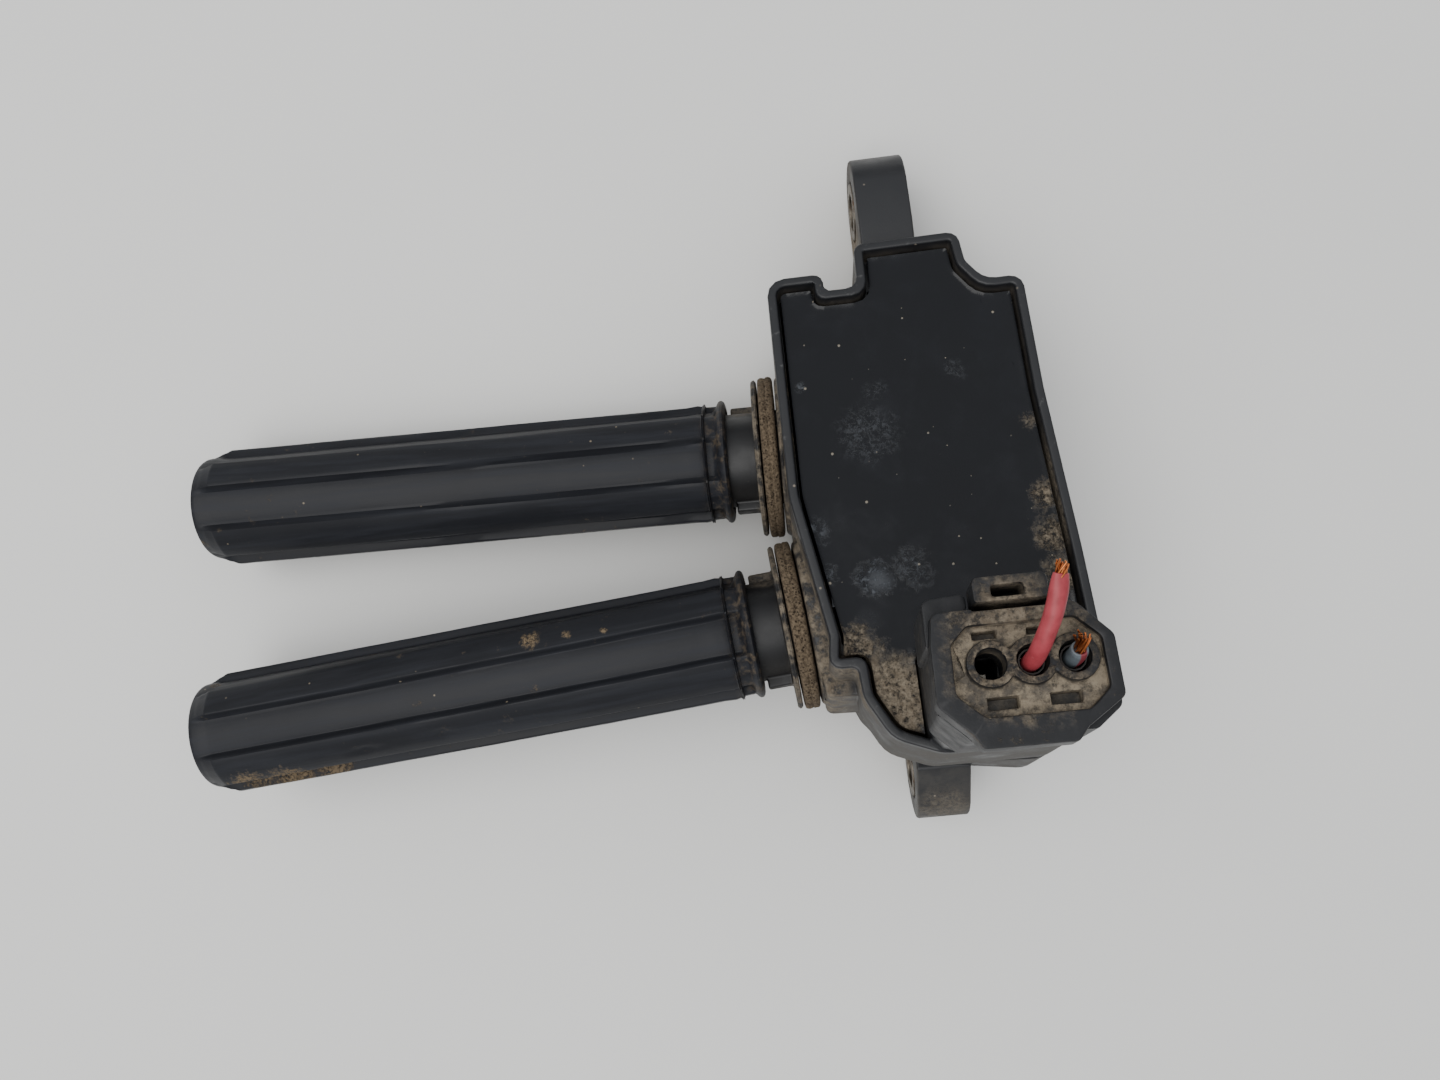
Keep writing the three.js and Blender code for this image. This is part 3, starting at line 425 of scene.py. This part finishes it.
def metal(name, a, b, rough, spec=0.5, corrosion=None):
    m = Mat(name)
    col = m.mix(m.ramp(m.noise(2.0, 5, 0.65), 0.35, 0.65), a, b)
    r = m.ramp(m.noise(1.2, 5, 0.6, seed=2), 0.3, 0.7, rough * 0.8, rough * 1.3)
    met = 1.0
    if corrosion:
        c = m.ramp(m.noise(1.5, 6, 0.72, seed=5), 0.5, 0.66)
        col = m.mix(c, col, corrosion)
        r = m.mixf(c, r, 0.8)
        met = m.math("SUBTRACT", 1.0, m.mul(c, 0.85))
    m.bump(m.noise(0.3, 4, 0.6), 0.015)
    return m.done(col, r, met, spec)


def plain(name, a, b, rough, grain=0.4, depth=0.02):
    m = Mat(name)
    col = m.mix(m.ramp(m.noise(1.8, 5, 0.6), 0.35, 0.65), a, b)
    m.bump(m.noise(grain, 3, 0.6), depth)
    return m.done(col, m.ramp(m.noise(1.5, 3, seed=3), 0.3, 0.7, rough * 0.85, rough * 1.15))


def winding(name, a, b, pitch_mm, axis):
    m = Mat(name)
    v = m.along(axis)
    w = m.math("SINE", m.math("MULTIPLY", v, 2 * math.pi / pitch_mm))
    # painted shade: the grooves between turns are painted dark and the crests copper, in step with the bump
    col = m.mix(m.ramp(w, -0.8, 0.6), b, a)
    m.bump(w, 0.05)
    return m.done(col, 0.35, 0.7)


# ------------------------------------------------------------------ geometry helpers
def link(ob):
    bpy.context.scene.collection.objects.link(ob)
    return ob


def tidy(bm, dist=2e-6):
    bmesh.ops.remove_doubles(bm, verts=bm.verts, dist=dist)
    bmesh.ops.dissolve_degenerate(bm, edges=bm.edges, dist=1e-6)


def smooth_by_angle(me, angle):
    me.polygons.foreach_set("use_smooth", [True] * len(me.polygons))
    bm = bmesh.new(); bm.from_mesh(me)
    for e in bm.edges:
        if len(e.link_faces) == 2:
            e.smooth = e.calc_face_angle(0.0) < angle
        else:
            e.smooth = False
    bm.to_mesh(me); bm.free()


def cad_copy(node, name):
    src = frame["nodes"][node]
    me = src.data.copy()
    me.name = name
    bm = bmesh.new(); bm.from_mesh(me)
    tidy(bm)
    bmesh.ops.dissolve_limit(bm, angle_limit=math.radians(0.6), verts=bm.verts, edges=bm.edges, delimit=set())
    tidy(bm)
    bm.to_mesh(me); bm.free()
    me.materials.clear()
    ob = link(bpy.data.objects.new(name, me))
    ob.matrix_world = src.matrix_world.copy()
    return ob


def bake_modifiers(ob):
    dg = bpy.context.evaluated_depsgraph_get()
    me = bpy.data.meshes.new_from_object(ob.evaluated_get(dg))
    ob.modifiers.clear()
    ob.data = me
    return me


def tame(me, src, reach):
    """Pulls in any bevel corner that landed away from the surface it came from."""
    bm = bmesh.new(); bm.from_mesh(src)
    tree = BVHTree.FromBMesh(bm)
    for v in me.vertices:
        hit = tree.find_nearest(v.co)
        if hit[0] is None:
            continue
        away = (v.co - hit[0]).length
        outside = (v.co - hit[0]).dot(hit[1]) > 0 and away > 2e-5
        if away > reach or outside:
            v.co = hit[0]
    bm.free()
    bm = bmesh.new(); bm.from_mesh(me)
    tidy(bm, 4e-6)
    # a bevel that ran over itself leaves a face turned inside out between two good ones
    bmesh.ops.triangulate(bm, faces=[f for f in bm.faces if len(f.verts) > 4])
    bm.normal_update()
    turned = []
    for f in bm.faces:
        hit = tree.find_nearest(f.calc_center_median())
        if hit[0] is not None and f.normal.dot(hit[1]) < -0.5:
            turned.append(f)
    bmesh.ops.delete(bm, geom=turned, context="FACES_ONLY")
    bm.to_mesh(me); bm.free()


def bevelled(node, width, mat, segments=2, name=None, angle=28, body=None, smooth=35):
    ob = cad_copy(node, name or node + "_detailed")
    md = ob.modifiers.new("bevel", "BEVEL")
    md.width = width * MM; md.segments = segments
    md.limit_method = "ANGLE"; md.angle_limit = math.radians(angle)
    md.use_clamp_overlap = False
    md.miter_outer = "MITER_SHARP"
    src = ob.data.copy()
    me = bake_modifiers(ob)
    tame(me, src, width * 1.5 * MM)
    me.materials.clear(); me.materials.append(mat)
    smooth_by_angle(me, math.radians(smooth))
    wn = ob.modifiers.new("flat_faces", "WEIGHTED_NORMAL")
    wn.mode = "FACE_AREA"; wn.weight = 80; wn.keep_sharp = True
    bake_modifiers(ob)
    ride(ob, node, body)
    return ob


def ride(ob, node, body=None):
    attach(ob, body or body_of_node(node))
    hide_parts(node)


RECORD = frame["record"]


BODY_OF = {
    "boot_1": "boot_1", "contact_spring_1": "boot_1", "boot_2": "boot_2", "contact_spring_2": "boot_2",
    "contact_cup_1": "contact_1", "contact_cup_2": "contact_2", "latch_lever": "latch",
    "plug_housing": "plug", "plug_ring_seal": "plug", "red_wire": "plug", "grey_wire": "plug", "red_wire_strands": "plug",
    "grey_wire_strands": "plug", "red_wire_seal": "plug", "grey_wire_seal": "plug", "red_wire_terminal": "plug", "grey_wire_terminal": "plug",
}


def body_of_node(node):
    return BODY_OF.get(node, "root")


def repaint(node, mat):
    ob = frame["nodes"][node]
    if not ob.material_slots:
        ob.data.materials.append(mat)
    for s in ob.material_slots:
        s.material = mat


def mesh_from(name, verts, faces, mat, smooth=40):
    me = bpy.data.meshes.new(name)
    me.from_pydata([tuple(v) for v in verts], [], faces)
    me.update()
    bm = bmesh.new(); bm.from_mesh(me)
    bmesh.ops.recalc_face_normals(bm, faces=bm.faces)
    bm.to_mesh(me); bm.free()
    me.materials.append(mat)
    smooth_by_angle(me, math.radians(smooth))
    return link(bpy.data.objects.new(name, me))


# ------------------------------------------------------------------ boots
def boot_axes(which):
    o, t = TOWERS[which]
    y = t.cross(AZ).normalized()
    x = y.cross(t).normalized()
    return o, t, x, y


def boot_point(which, z, ang, r, lean=True):
    """Point on a boot: z millimetres along the tower, ang degrees from the up side towards -y."""
    o, t, x, y = boot_axes(which)
    a = math.radians(ang)
    yy = -y if y.dot(AY) > 0 else y
    p = o + (t * z + (x * math.cos(a) + yy * math.sin(a)) * r) * MM
    if lean:
        k = BOOT[which]["lean"]
        s = 6.0
        d = z - FLEX_FROM
        d = 0.0 if d < -s else (d if d > s else (d + s) ** 2 / (4 * s))
        p = p + Vector((0, 0, 1)) * d * k * MM
    return p


# steep wall, end of the face, end of the slope: six long ribs, in degrees round the boot
# foot, face start, face end and foot again, in degrees from the potted side
RIBS = [(-108, -104, -79, -76), (-40, -37.5, -10.5, -7.5), (30.5, 33, 68, 71), (87, 90, 110, 113), (139, 142, 165, 168), (-168, -165, -143, -140)]


def rib_height(ang):
    """0 in a valley, 1 on a rib's face."""
    best = 0.0
    for a0, a1, a2, a3 in RIBS:
        for turn in (-360, 0, 360):
            a = ang + turn
            if a0 < a < a3:
                best = max(best, min(1.0, (a - a0) / (a1 - a0), (a3 - a) / (a3 - a2)))
    return best


ANGLES = []
a = -180.0
while a < 179.9:
    ANGLES.append(a)
    close = min(abs(((a - e + 180) % 360) - 180) for r in RIBS for e in r)
    a += 0.55 if close < 2.4 else 1.9


def rib_soft(ang):
    return sum(w * rib_height(ang + d) for d, w in ((-0.7, 0.2), (-0.3, 0.2), (0, 0.2), (0.3, 0.2), (0.7, 0.2)))


def make_boot(which, mat):
    end = BOOT[which]["end"]
    S = BOOT_START
    # (z, core radius, how much of the rib stands, extra outline)
    outer = [(S, 9.3, 0), (S + 0.05, 9.9, 0), (S + 0.2, 10.45, 0), (S + 0.5, 10.75, 0), (S + 0.85, 10.8, 0), (S + 1.2, 10.6, 0), (S + 1.5, 10.1, 0.05), (S + 1.75, 9.6, 0.25),
             (S + 2.1, 9.1, 0.6), (S + 2.6, 8.8, 0.8), (S + 3.5, 8.8, 0.84), (S + 3.64, 9.0, 0.86), (S + 3.70, 10.15, 0.3), (S + 3.84, 10.36, 0.12), (S + 3.98, 10.15, 0.3), (S + 4.04, 9.0, 0.95),
             (S + 4.25, 8.8, 0.97), (S + 5.0, 8.9, 1.0)]
    z = S + 7
    while z < end - 7:
        outer.append((z, 8.75, 1.0)); z += 2.2
    outer += [(end - 6.0, 8.75, 1.0), (end - 4.0, 8.77, 1.0), (end - 3.7, 8.78, 0.98), (end - 3.5, 8.78, 0.93), (end - 2.9, 8.8, 0.72), (end - 2.2, 8.96, 0.48), (end - 1.5, 8.98, 0.24), (end - 0.9, 9.0, 0.06), (end - 0.45, 8.96, 0.0), (end - 0.15, 8.8, 0), (end, 8.5, 0), (end + 0.0, 8.2, 0)]
    inner = [(end - 0.1, 7.95, 0), (end - 0.6, 7.55, 0), (end - 1.2, 7.25, 0), (end - 4, 6.15, 0), (end - 8, 6.1, 0), (79.5, 6.1, 0), (78.2, 4.65, 0), (60, 4.6, 0), (38.4, 4.6, 0), (37, 6.4, 0), (21.2, 6.75, 0), (20.8, 8.55, 0), (S + 1.2, 8.55, 0), (S + 0.2, 9.0, 0)]
    rings = [(zz, r, f, True) for zz, r, f in outer] + [(zz, r, f, False) for zz, r, f in inner]
    # small pulls and nicks in the rubber of the second boot
    nicks = [(75.5, 55, 0.55, 1.0), (69.3, 53, 0.4, 0.9), (62.2, 52, 0.5, 1.1)] if which == 2 else []
    nicks = nicks + [(27.0, -36, 0.15, 1.0)]
    verts, faces = [], []
    n = len(ANGLES)
    for zz, r, f, is_out in rings:
        for ang in ANGLES:
            twist = (7.0 if which == 1 else 0.0) + (2.5 * math.sin((zz - 20) / 45.0) if is_out else 0)
            h = rib_soft(ang - twist) if (is_out and f > 0) else 0.0
            rr = r + (BOOT_R + 0.02 - 8.75) * h * f
            if is_out and f < 0.3 and r > 10.2 and zz > S + 3:
                rr = min(rr, 10.4)
            if is_out and f > 0.5:
                p = boot_point(which, zz, ang, rr)
                rr += 0.07 * noise.noise(Vector((zz / 16.0, math.cos(math.radians(ang)) * 1.3, math.sin(math.radians(ang)) * 1.3 + which * 7)))
                rr += 0.035 * noise.noise(Vector((zz / 3.1, ang / 9.0, 2.0 + which)))
            if is_out and S <= zz <= S + 1.3:
                rr += 0.16 * noise.noise(Vector((math.cos(math.radians(ang)) * 2.2, math.sin(math.radians(ang)) * 2.2, 4.0 + which)))
            for nz, na, depth, rad in nicks:
                d2 = ((zz - nz) ** 2 + (math.radians(ang - na) * rr) ** 2) / rad ** 2
                if is_out and d2 < 4:
                    rr -= depth * math.exp(-d2 * 1.6)
            verts.append(boot_point(which, zz, ang, rr))
    m_ = len(rings)
    for i in range(m_):
        j = (i + 1) % m_
        for k in range(n):
            l = (k + 1) % n
            faces.append((i * n + k, i * n + l, j * n + l, j * n + k))
    ob = mesh_from("boot_%d_rubber" % which, verts, faces, mat, smooth=32)
    ride(ob, "boot_%d" % which)
    return ob


# ------------------------------------------------------------------ foam rings, lathed about the tower axis
def make_foam(which, mat):
    lo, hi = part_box("foam_seal_%d" % which)
    o, t, x, y = boot_axes(which)
    ro, ri, t0, t1 = 14.05, 9.4, 0.3, 2.9
    profile = [(ri, t0), (ri + 1.5, t0), (ro - 1.6, t0), (ro - 0.7, t0), (ro - 0.25, t0 + 0.12), (ro, t0 + 0.35), (ro + 0.03, t0 + 0.8), (ro + 0.05, t0 + 1.1), (ro - 0.14, t0 + 1.28),
               (ro - 0.02, t0 + 1.5), (ro, t0 + 1.9), (ro - 0.08, t1 - 0.35), (ro - 0.3, t1 - 0.1), (ro - 0.8, t1), (ro - 2.2, t1), (ri + 1.0, t1), (ri, t1 - 0.1), (ri, t0 + 1.2)]
    n = 260
    verts, faces = [], []
    for i, (r, z) in enumerate(profile):
        for k in range(n):
            a = 2 * math.pi * k / n
            v = Vector((math.cos(a) * r, math.sin(a) * r, z))
            d = 0.13 * noise.noise(v * 0.9 + Vector((0, 0, which * 9))) + 0.09 * noise.noise(v * 2.6)
            rr = r + (d if r > ri + 0.5 else 0) - 0.05
            zz = z + (0.10 * noise.noise(v * 0.35) if 0.5 < z < 2.6 else 0)
            verts.append(o + (t * zz + (x * math.cos(a) + y * math.sin(a)) * rr) * MM)
    for i in range(len(profile)):
        j = (i + 1) % len(profile)
        for k in range(n):
            l = (k + 1) % n
            faces.append((i * n + k, i * n + l, j * n + l, j * n + k))
    ob = mesh_from("foam_ring_%d" % which, verts, faces, mat, smooth=60)
    ride(ob, "foam_seal_%d" % which)
    return ob


# ------------------------------------------------------------------ potting with a meniscus against the walls
def make_potting(mat):
    """The resin with its level face redrawn as a fine grid that creeps up the walls."""
    ob = cad_copy("potting_resin", "potting_surface")
    me = ob.data
    bm = bmesh.new(); bm.from_mesh(me)
    high = [f for f in bm.faces if f.normal.dot(AZ) > 0.98 and (f.calc_center_median() - ORIGIN).dot(AZ) > (RESIN_H - 0.6) * MM]
    walls = []
    for f in high:
        for e in f.edges:
            if any(g not in high for g in e.link_faces):
                walls.append((e.verts[0].co.copy(), e.verts[1].co.copy()))
    bmesh.ops.triangulate(bm, faces=high)
    for _ in range(9):
        high = [f for f in bm.faces if f.normal.dot(AZ) > 0.98 and (f.calc_center_median() - ORIGIN).dot(AZ) > (RESIN_H - 0.6) * MM]
        long_edges = set()
        seen = list({e for f in high for e in f.edges if e.calc_length() > 0.45 * MM})
        gaps = wall_gap([(e.verts[0].co + e.verts[1].co) / 2 for e in seen], walls)
        if seen:
            for e, d in zip(seen, gaps):
                if e.calc_length() > max(0.45, min(2.2, 0.35 + d * 0.55)) * MM:
                    long_edges.add(e)
        if not long_edges:
            break
        bmesh.ops.subdivide_edges(bm, edges=list(long_edges), cuts=1)
        high = [f for f in bm.faces if f.normal.dot(AZ) > 0.98 and (f.calc_center_median() - ORIGIN).dot(AZ) > (RESIN_H - 0.6) * MM]
        bmesh.ops.triangulate(bm, faces=[f for f in high if len(f.verts) > 3])
    high = [f for f in bm.faces if f.normal.dot(AZ) > 0.98 and (f.calc_center_median() - ORIGIN).dot(AZ) > (RESIN_H - 0.6) * MM]
    tops = list({v for f in high for v in f.verts})
    gap_of = dict(zip(tops, wall_gap([v.co for v in tops], walls)))
    done = set()
    for f in high:
        for v in f.verts:
            if v in done:
                continue
            done.add(v)
            d = gap_of[v]
            n = noise.noise(v.co * 90.0) * 0.10 + noise.noise(v.co * 260.0) * 0.03
            v.co += AZ * (0.32 * math.exp(-d / 0.4) - 0.08 + n * min(1.0, d / 2.0)) * MM
    bm.to_mesh(me); bm.free()
    me.materials.clear(); me.materials.append(mat)
    smooth_by_angle(me, math.radians(50))
    ride(ob, "potting_resin")
    return ob


def wall_gap(points, walls):
    """Millimetres from each point to the nearest wall segment."""
    if not points:
        return []
    c = np.array([tuple(p) for p in points])
    best = np.full(len(c), 1e9)
    for p, q in walls:
        p, q = np.array(tuple(p)), np.array(tuple(q))
        u = q - p
        L = float(u @ u)
        t = np.clip(((c - p) @ u) / L, 0, 1) if L > 0 else np.zeros(len(c))
        best = np.minimum(best, np.linalg.norm(c - (p + t[:, None] * u), axis=1))
    return list(best / MM)


# ------------------------------------------------------------------ wires
def spline(points, steps):
    pts = [Vector(p) for p in points]
    ext = [pts[0] * 2 - pts[1]] + pts + [pts[-1] * 2 - pts[-2]]
    out = []
    for i in range(1, len(ext) - 2):
        p0, p1, p2, p3 = ext[i - 1], ext[i], ext[i + 1], ext[i + 2]
        for k in range(steps):
            s = k / steps
            out.append(0.5 * ((2 * p1) + (p2 - p0) * s + (2 * p0 - 5 * p1 + 4 * p2 - p3) * s * s + (3 * p1 - p0 - 3 * p2 + p3) * s ** 3))
    out.append(pts[-1])
    return out


def tube(name, centre, radius_at, mat, sides=28, flat=None, hollow=None):
    """A swept tube. radius_at(u) gives the radius in mm; flat(u) squeezes it across."""
    tangents = []
    for i, p in enumerate(centre):
        a_ = centre[max(0, i - 1)]; b_ = centre[min(len(centre) - 1, i + 1)]
        tangents.append((b_ - a_).normalized())
    up = Vector((1, 0, 0)) if abs(tangents[0].x) < 0.8 else Vector((0, 1, 0))
    nrm = (up - tangents[0] * up.dot(tangents[0])).normalized()
    verts, faces = [], []
    N = len(centre)
    frames = []
    for i in range(N):
        if i:
            nrm = (nrm - tangents[i] * nrm.dot(tangents[i])).normalized()
        frames.append((nrm.copy(), tangents[i].cross(nrm)))
    def ring(i, r, push=0.0):
        u = i / (N - 1)
        n1, n2 = frames[i]
        fl = flat(u) if flat else 1.0
        base = len(verts)
        for k in range(sides):
            an = 2 * math.pi * k / sides
            w = 1.0 + 0.03 * noise.noise(Vector((u * 9, math.cos(an) * 1.5, math.sin(an) * 1.5)))
            verts.append(centre[i] + tangents[i] * push + (n1 * math.cos(an) * r * w / max(fl, 0.5) ** 0.5 + n2 * math.sin(an) * r * w * fl) * MM)
        return base
    bases = [ring(i, radius_at(i / (N - 1))) for i in range(N)]
    if hollow:
        bases.append(ring(N - 1, radius_at(1.0) * 0.8, 0.05 * MM))
        bases.append(ring(N - 1, radius_at(1.0) * 0.62, -0.1 * MM))
        bases.append(ring(N - 1, radius_at(1.0) * 0.6, -hollow * MM))
    for a_, b_ in zip(bases, bases[1:]):
        for k in range(sides):
            l = (k + 1) % sides
            faces.append((a_ + k, a_ + l, b_ + l, b_ + k))
    faces.append(tuple(bases[0] + k for k in range(sides))[::-1])
    faces.append(tuple(bases[-1] + k for k in range(sides)))
    return mesh_from(name, verts, faces, mat, smooth=50)


def strand_bundle(name, start, direction, length, spread, count, mat, seed, bend=None):
    rnd = random.Random(seed)
    verts, faces = [], []
    d = direction.normalized()
    a_ = d.cross(Vector((0, 0, 1)) if abs(d.z) < 0.9 else Vector((1, 0, 0))).normalized()
    b_ = d.cross(a_)
    sides = 7
    for s in range(count):
        rr = 0.0 if s == 0 else (0.3 if s < 7 else 0.58)
        th = s * 1.047 + (0.4 if s >= 7 else 0)
        L = length * rnd.uniform(0.72, 1.0)
        sp = spread * rnd.uniform(0.4, 1.0)
        pts = []
        for i in range(9):
            u = i / 8
            tw = th + u * 1.5
            rad = rr * (1 + sp * u * u * 2.2)
            off = (a_ * math.cos(tw) + b_ * math.sin(tw)) * rad
            p = start + (d * L * u + off) * MM
            if bend is not None:
                p = p + bend * (u * u * L * 0.35 * rnd.uniform(0.8, 1.1)) * MM
            pts.append(p)
        r = 0.125
        base0 = len(verts)
        for i, p in enumerate(pts):
            tg = (pts[min(8, i + 1)] - pts[max(0, i - 1)]).normalized()
            n1 = tg.cross(b_).normalized() if abs(tg.dot(b_)) < 0.9 else tg.cross(a_).normalized()
            n2 = tg.cross(n1)
            for k in range(sides):
                an = 2 * math.pi * k / sides
                verts.append(p + (n1 * math.cos(an) + n2 * math.sin(an)) * r * MM)
        for i in range(8):
            for k in range(sides):
                l = (k + 1) % sides
                faces.append((base0 + i * sides + k, base0 + i * sides + l, base0 + (i + 1) * sides + l, base0 + (i + 1) * sides + k))
        faces.append(tuple(base0 + k for k in range(sides))[::-1])
        faces.append(tuple(base0 + 8 * sides + k for k in range(sides)))
    return mesh_from(name, verts, faces, mat, smooth=60)


# ------------------------------------------------------------------ build
M_CASE, M_POT, M_FOAM, M_PLUG = case_plastic(), potting(), seal_foam(), plug_plastic()
M_RED = insulation("red_insulation", rgb(164, 62, 70), rgb(148, 50, 58))
M_GREY = insulation("grey_insulation", rgb(98, 106, 112), rgb(78, 86, 92), rgb(120, 44, 52), C(PLUG_X + PITCH, PLUG_Y, 45))
M_COPPER = metal("copper_strands", rgb(205, 128, 78), rgb(150, 84, 46), 0.35)
M_BUSH = metal("bushing_steel", rgb(120, 114, 104), rgb(84, 78, 70), 0.45, corrosion=rgb(84, 62, 44))
M_TIN = metal("tinned_metal", rgb(168, 164, 154), rgb(128, 124, 116), 0.34)
M_SPRING = metal("spring_steel", rgb(168, 170, 172), rgb(120, 122, 124), 0.28)
M_CORE = metal("core_steel", rgb(98, 100, 104), rgb(70, 72, 76), 0.45)
M_MAGNET = metal("magnet", rgb(70, 72, 78), rgb(52, 54, 58), 0.4)
M_BOBBIN = plain("bobbin_plastic", rgb(46, 46, 48), rgb(36, 36, 38), 0.55)
M_SEAL = plain("seal_rubber", rgb(122, 56, 42), rgb(96, 44, 34), 0.6)
M_WSEAL = plain("wire_seal_rubber", rgb(44, 36, 32), rgb(30, 26, 24), 0.6)

bevelled("coil_case", 0.38, M_CASE, segments=3, angle=42, smooth=42)
make_potting(M_POT)
for i in (1, 2):
    make_boot(i, boot_rubber(i))
    make_foam(i, M_FOAM)
bevelled("plug_housing", 0.28, M_PLUG, segments=2, angle=46, smooth=40)
bevelled("latch_lever", 0.3, M_PLUG, segments=2, angle=46, smooth=40)
for i in (1, 2):
    bevelled("ear_bushing_%d" % i, 0.25, M_BUSH, segments=2, angle=50)
    bevelled("contact_cup_%d" % i, 0.2, M_TIN, segments=2, angle=50)
    repaint("hv_terminal_%d" % i, M_TIN)
    repaint("contact_spring_%d" % i, M_SPRING)
    repaint("core_bar_%d" % i, M_CORE); repaint("core_frame_%d" % i, M_CORE)
    repaint("bias_magnet_%d" % i, M_MAGNET)
    repaint("primary_bobbin_%d" % i, M_BOBBIN); repaint("secondary_bobbin_%d" % i, M_BOBBIN)
    M_W1 = winding("primary_winding_wire_%d" % i, rgb(176, 98, 52), rgb(92, 46, 24), 0.7, AX)
    M_W2 = winding("secondary_winding_wire_%d" % i, rgb(186, 108, 56), rgb(104, 54, 28), 0.4, AX)
    repaint("primary_winding_%d" % i, M_W1); repaint("secondary_winding_%d" % i, M_W2)
for i in (1, 2, 3):
    repaint("connector_pin_%d" % i, M_TIN)
repaint("plug_ring_seal", M_SEAL)
for n in ("red", "grey"):
    repaint(n + "_wire_seal", M_WSEAL)
    repaint(n + "_wire_terminal", M_TIN)

RX, GX = PLUG_X, PLUG_X + PITCH
red_path = spline([C(RX, PLUG_Y, 39.6), C(RX, PLUG_Y, 43), C(RX, PLUG_Y, 46.0), C(RX + 0.5, PLUG_Y + 1.0, 48.6), C(RX + 1.7, PLUG_Y + 3.6, 51.0), C(RX + 2.5, PLUG_Y + 6.0, 52.4), C(RX + 3.0, PLUG_Y + 8.2, 53.6)], 8)
red = tube("red_wire_insulation", red_path, lambda u: 1.15 * (1.0 if u < 0.8 else 1.0 - 0.28 * ((u - 0.8) / 0.2) ** 2), M_RED, flat=lambda u: 1.0 if u < 0.7 else 1.0 - 0.3 * (u - 0.7) / 0.3, hollow=0.6)
ride(red, "red_wire")
grey_path = spline([C(GX, PLUG_Y, 39.6), C(GX, PLUG_Y, 43), C(GX + 0.1, PLUG_Y + 0.1, 45.4), C(GX + 0.1, PLUG_Y + 0.4, 47.0)], 6)
grey = tube("grey_wire_insulation", grey_path, lambda u: 1.15 * (1.0 if u < 0.9 else 1.0 - 0.1 * (u - 0.9) / 0.1), M_GREY, hollow=0.5)
ride(grey, "grey_wire")
d = (AX * 0.5 + AY * 2.2 + AZ * 1.2)
s1 = strand_bundle("red_wire_copper", C(RX + 3.0, PLUG_Y + 8.2, 53.6) - d.normalized() * 0.45 * MM, d, 2.1, 0.16, 15, M_COPPER, 11)
ride(s1, "red_wire_strands")
d = (AX * 0.1 + AY * 0.5 + AZ * 1.0)
s2 = strand_bundle("grey_wire_copper", C(GX + 0.1, PLUG_Y + 0.4, 47.0) - d.normalized() * 0.4 * MM, d, 2.5, 0.35, 17, M_COPPER, 12, bend=AY * 0.6)
ride(s2, "grey_wire_strands")

# ------------------------------------------------------------------ floor, light, camera
lo = CAD_BOX[0]
floor_me = bpy.data.meshes.new("bench")
bm = bmesh.new()
bmesh.ops.create_grid(bm, x_segments=2, y_segments=2, size=1.4)
bm.to_mesh(floor_me); bm.free()
floor = link(bpy.data.objects.new("bench", floor_me))
fm = Mat("bench_paint")
fc = fm.mix(fm.noise(60, 3, 0.5), (0.76, 0.758, 0.742, 1), (0.81, 0.808, 0.79, 1))
floor_me.materials.append(fm.done(fc, 0.55, specular=0.3))

world = bpy.data.worlds.new("studio")
bpy.context.scene.world = world
world.use_nodes = True
bg = world.node_tree.nodes["Background"]
# an even ceiling that falls off towards the horizon, as in a room
wt = world.node_tree
wco = wt.nodes.new("ShaderNodeTexCoord")
wsep = wt.nodes.new("ShaderNodeSeparateXYZ")
wt.links.new(wco.outputs["Generated"], wsep.inputs[0])
wmap = wt.nodes.new("ShaderNodeMapRange")
wmap.interpolation_type = "SMOOTHSTEP"
wmap.inputs["From Min"].default_value = -0.05; wmap.inputs["From Max"].default_value = 0.75
wmap.inputs["To Min"].default_value = 0.10; wmap.inputs["To Max"].default_value = 0.92
wt.links.new(wsep.outputs["Z"], wmap.inputs["Value"])
wt.links.new(wmap.outputs[0], bg.inputs["Strength"])
bg.inputs["Color"].default_value = (0.95, 0.97, 1.0, 1)


def area(name, at, target, size, power, color=(1, 1, 1)):
    l = bpy.data.lights.new(name, "AREA")
    l.shape = "RECTANGLE"; l.size, l.size_y = size
    l.energy = power; l.color = color
    ob = link(bpy.data.objects.new(name, l))
    ob.location = at
    ob.rotation_euler = (Vector(target) - Vector(at)).to_track_quat("-Z", "Y").to_euler()
    return ob


area("key", (-0.38, -0.05, 1.05), (0, 0, 0), (1.3, 0.8), 9.5, (1.0, 0.985, 0.955))

cam = bpy.data.cameras.new("camera")
cam.sensor_width = 36.0
cam.lens = 27.05
cam.clip_start = 0.01
camera = link(bpy.data.objects.new("camera", cam))
camera.location = (ORIGIN.x - 9.338 * MM, ORIGIN.y + 1.082 * MM, 0.205)
camera.rotation_euler = (0, 0, math.radians(-6.0))
bpy.context.scene.camera = camera
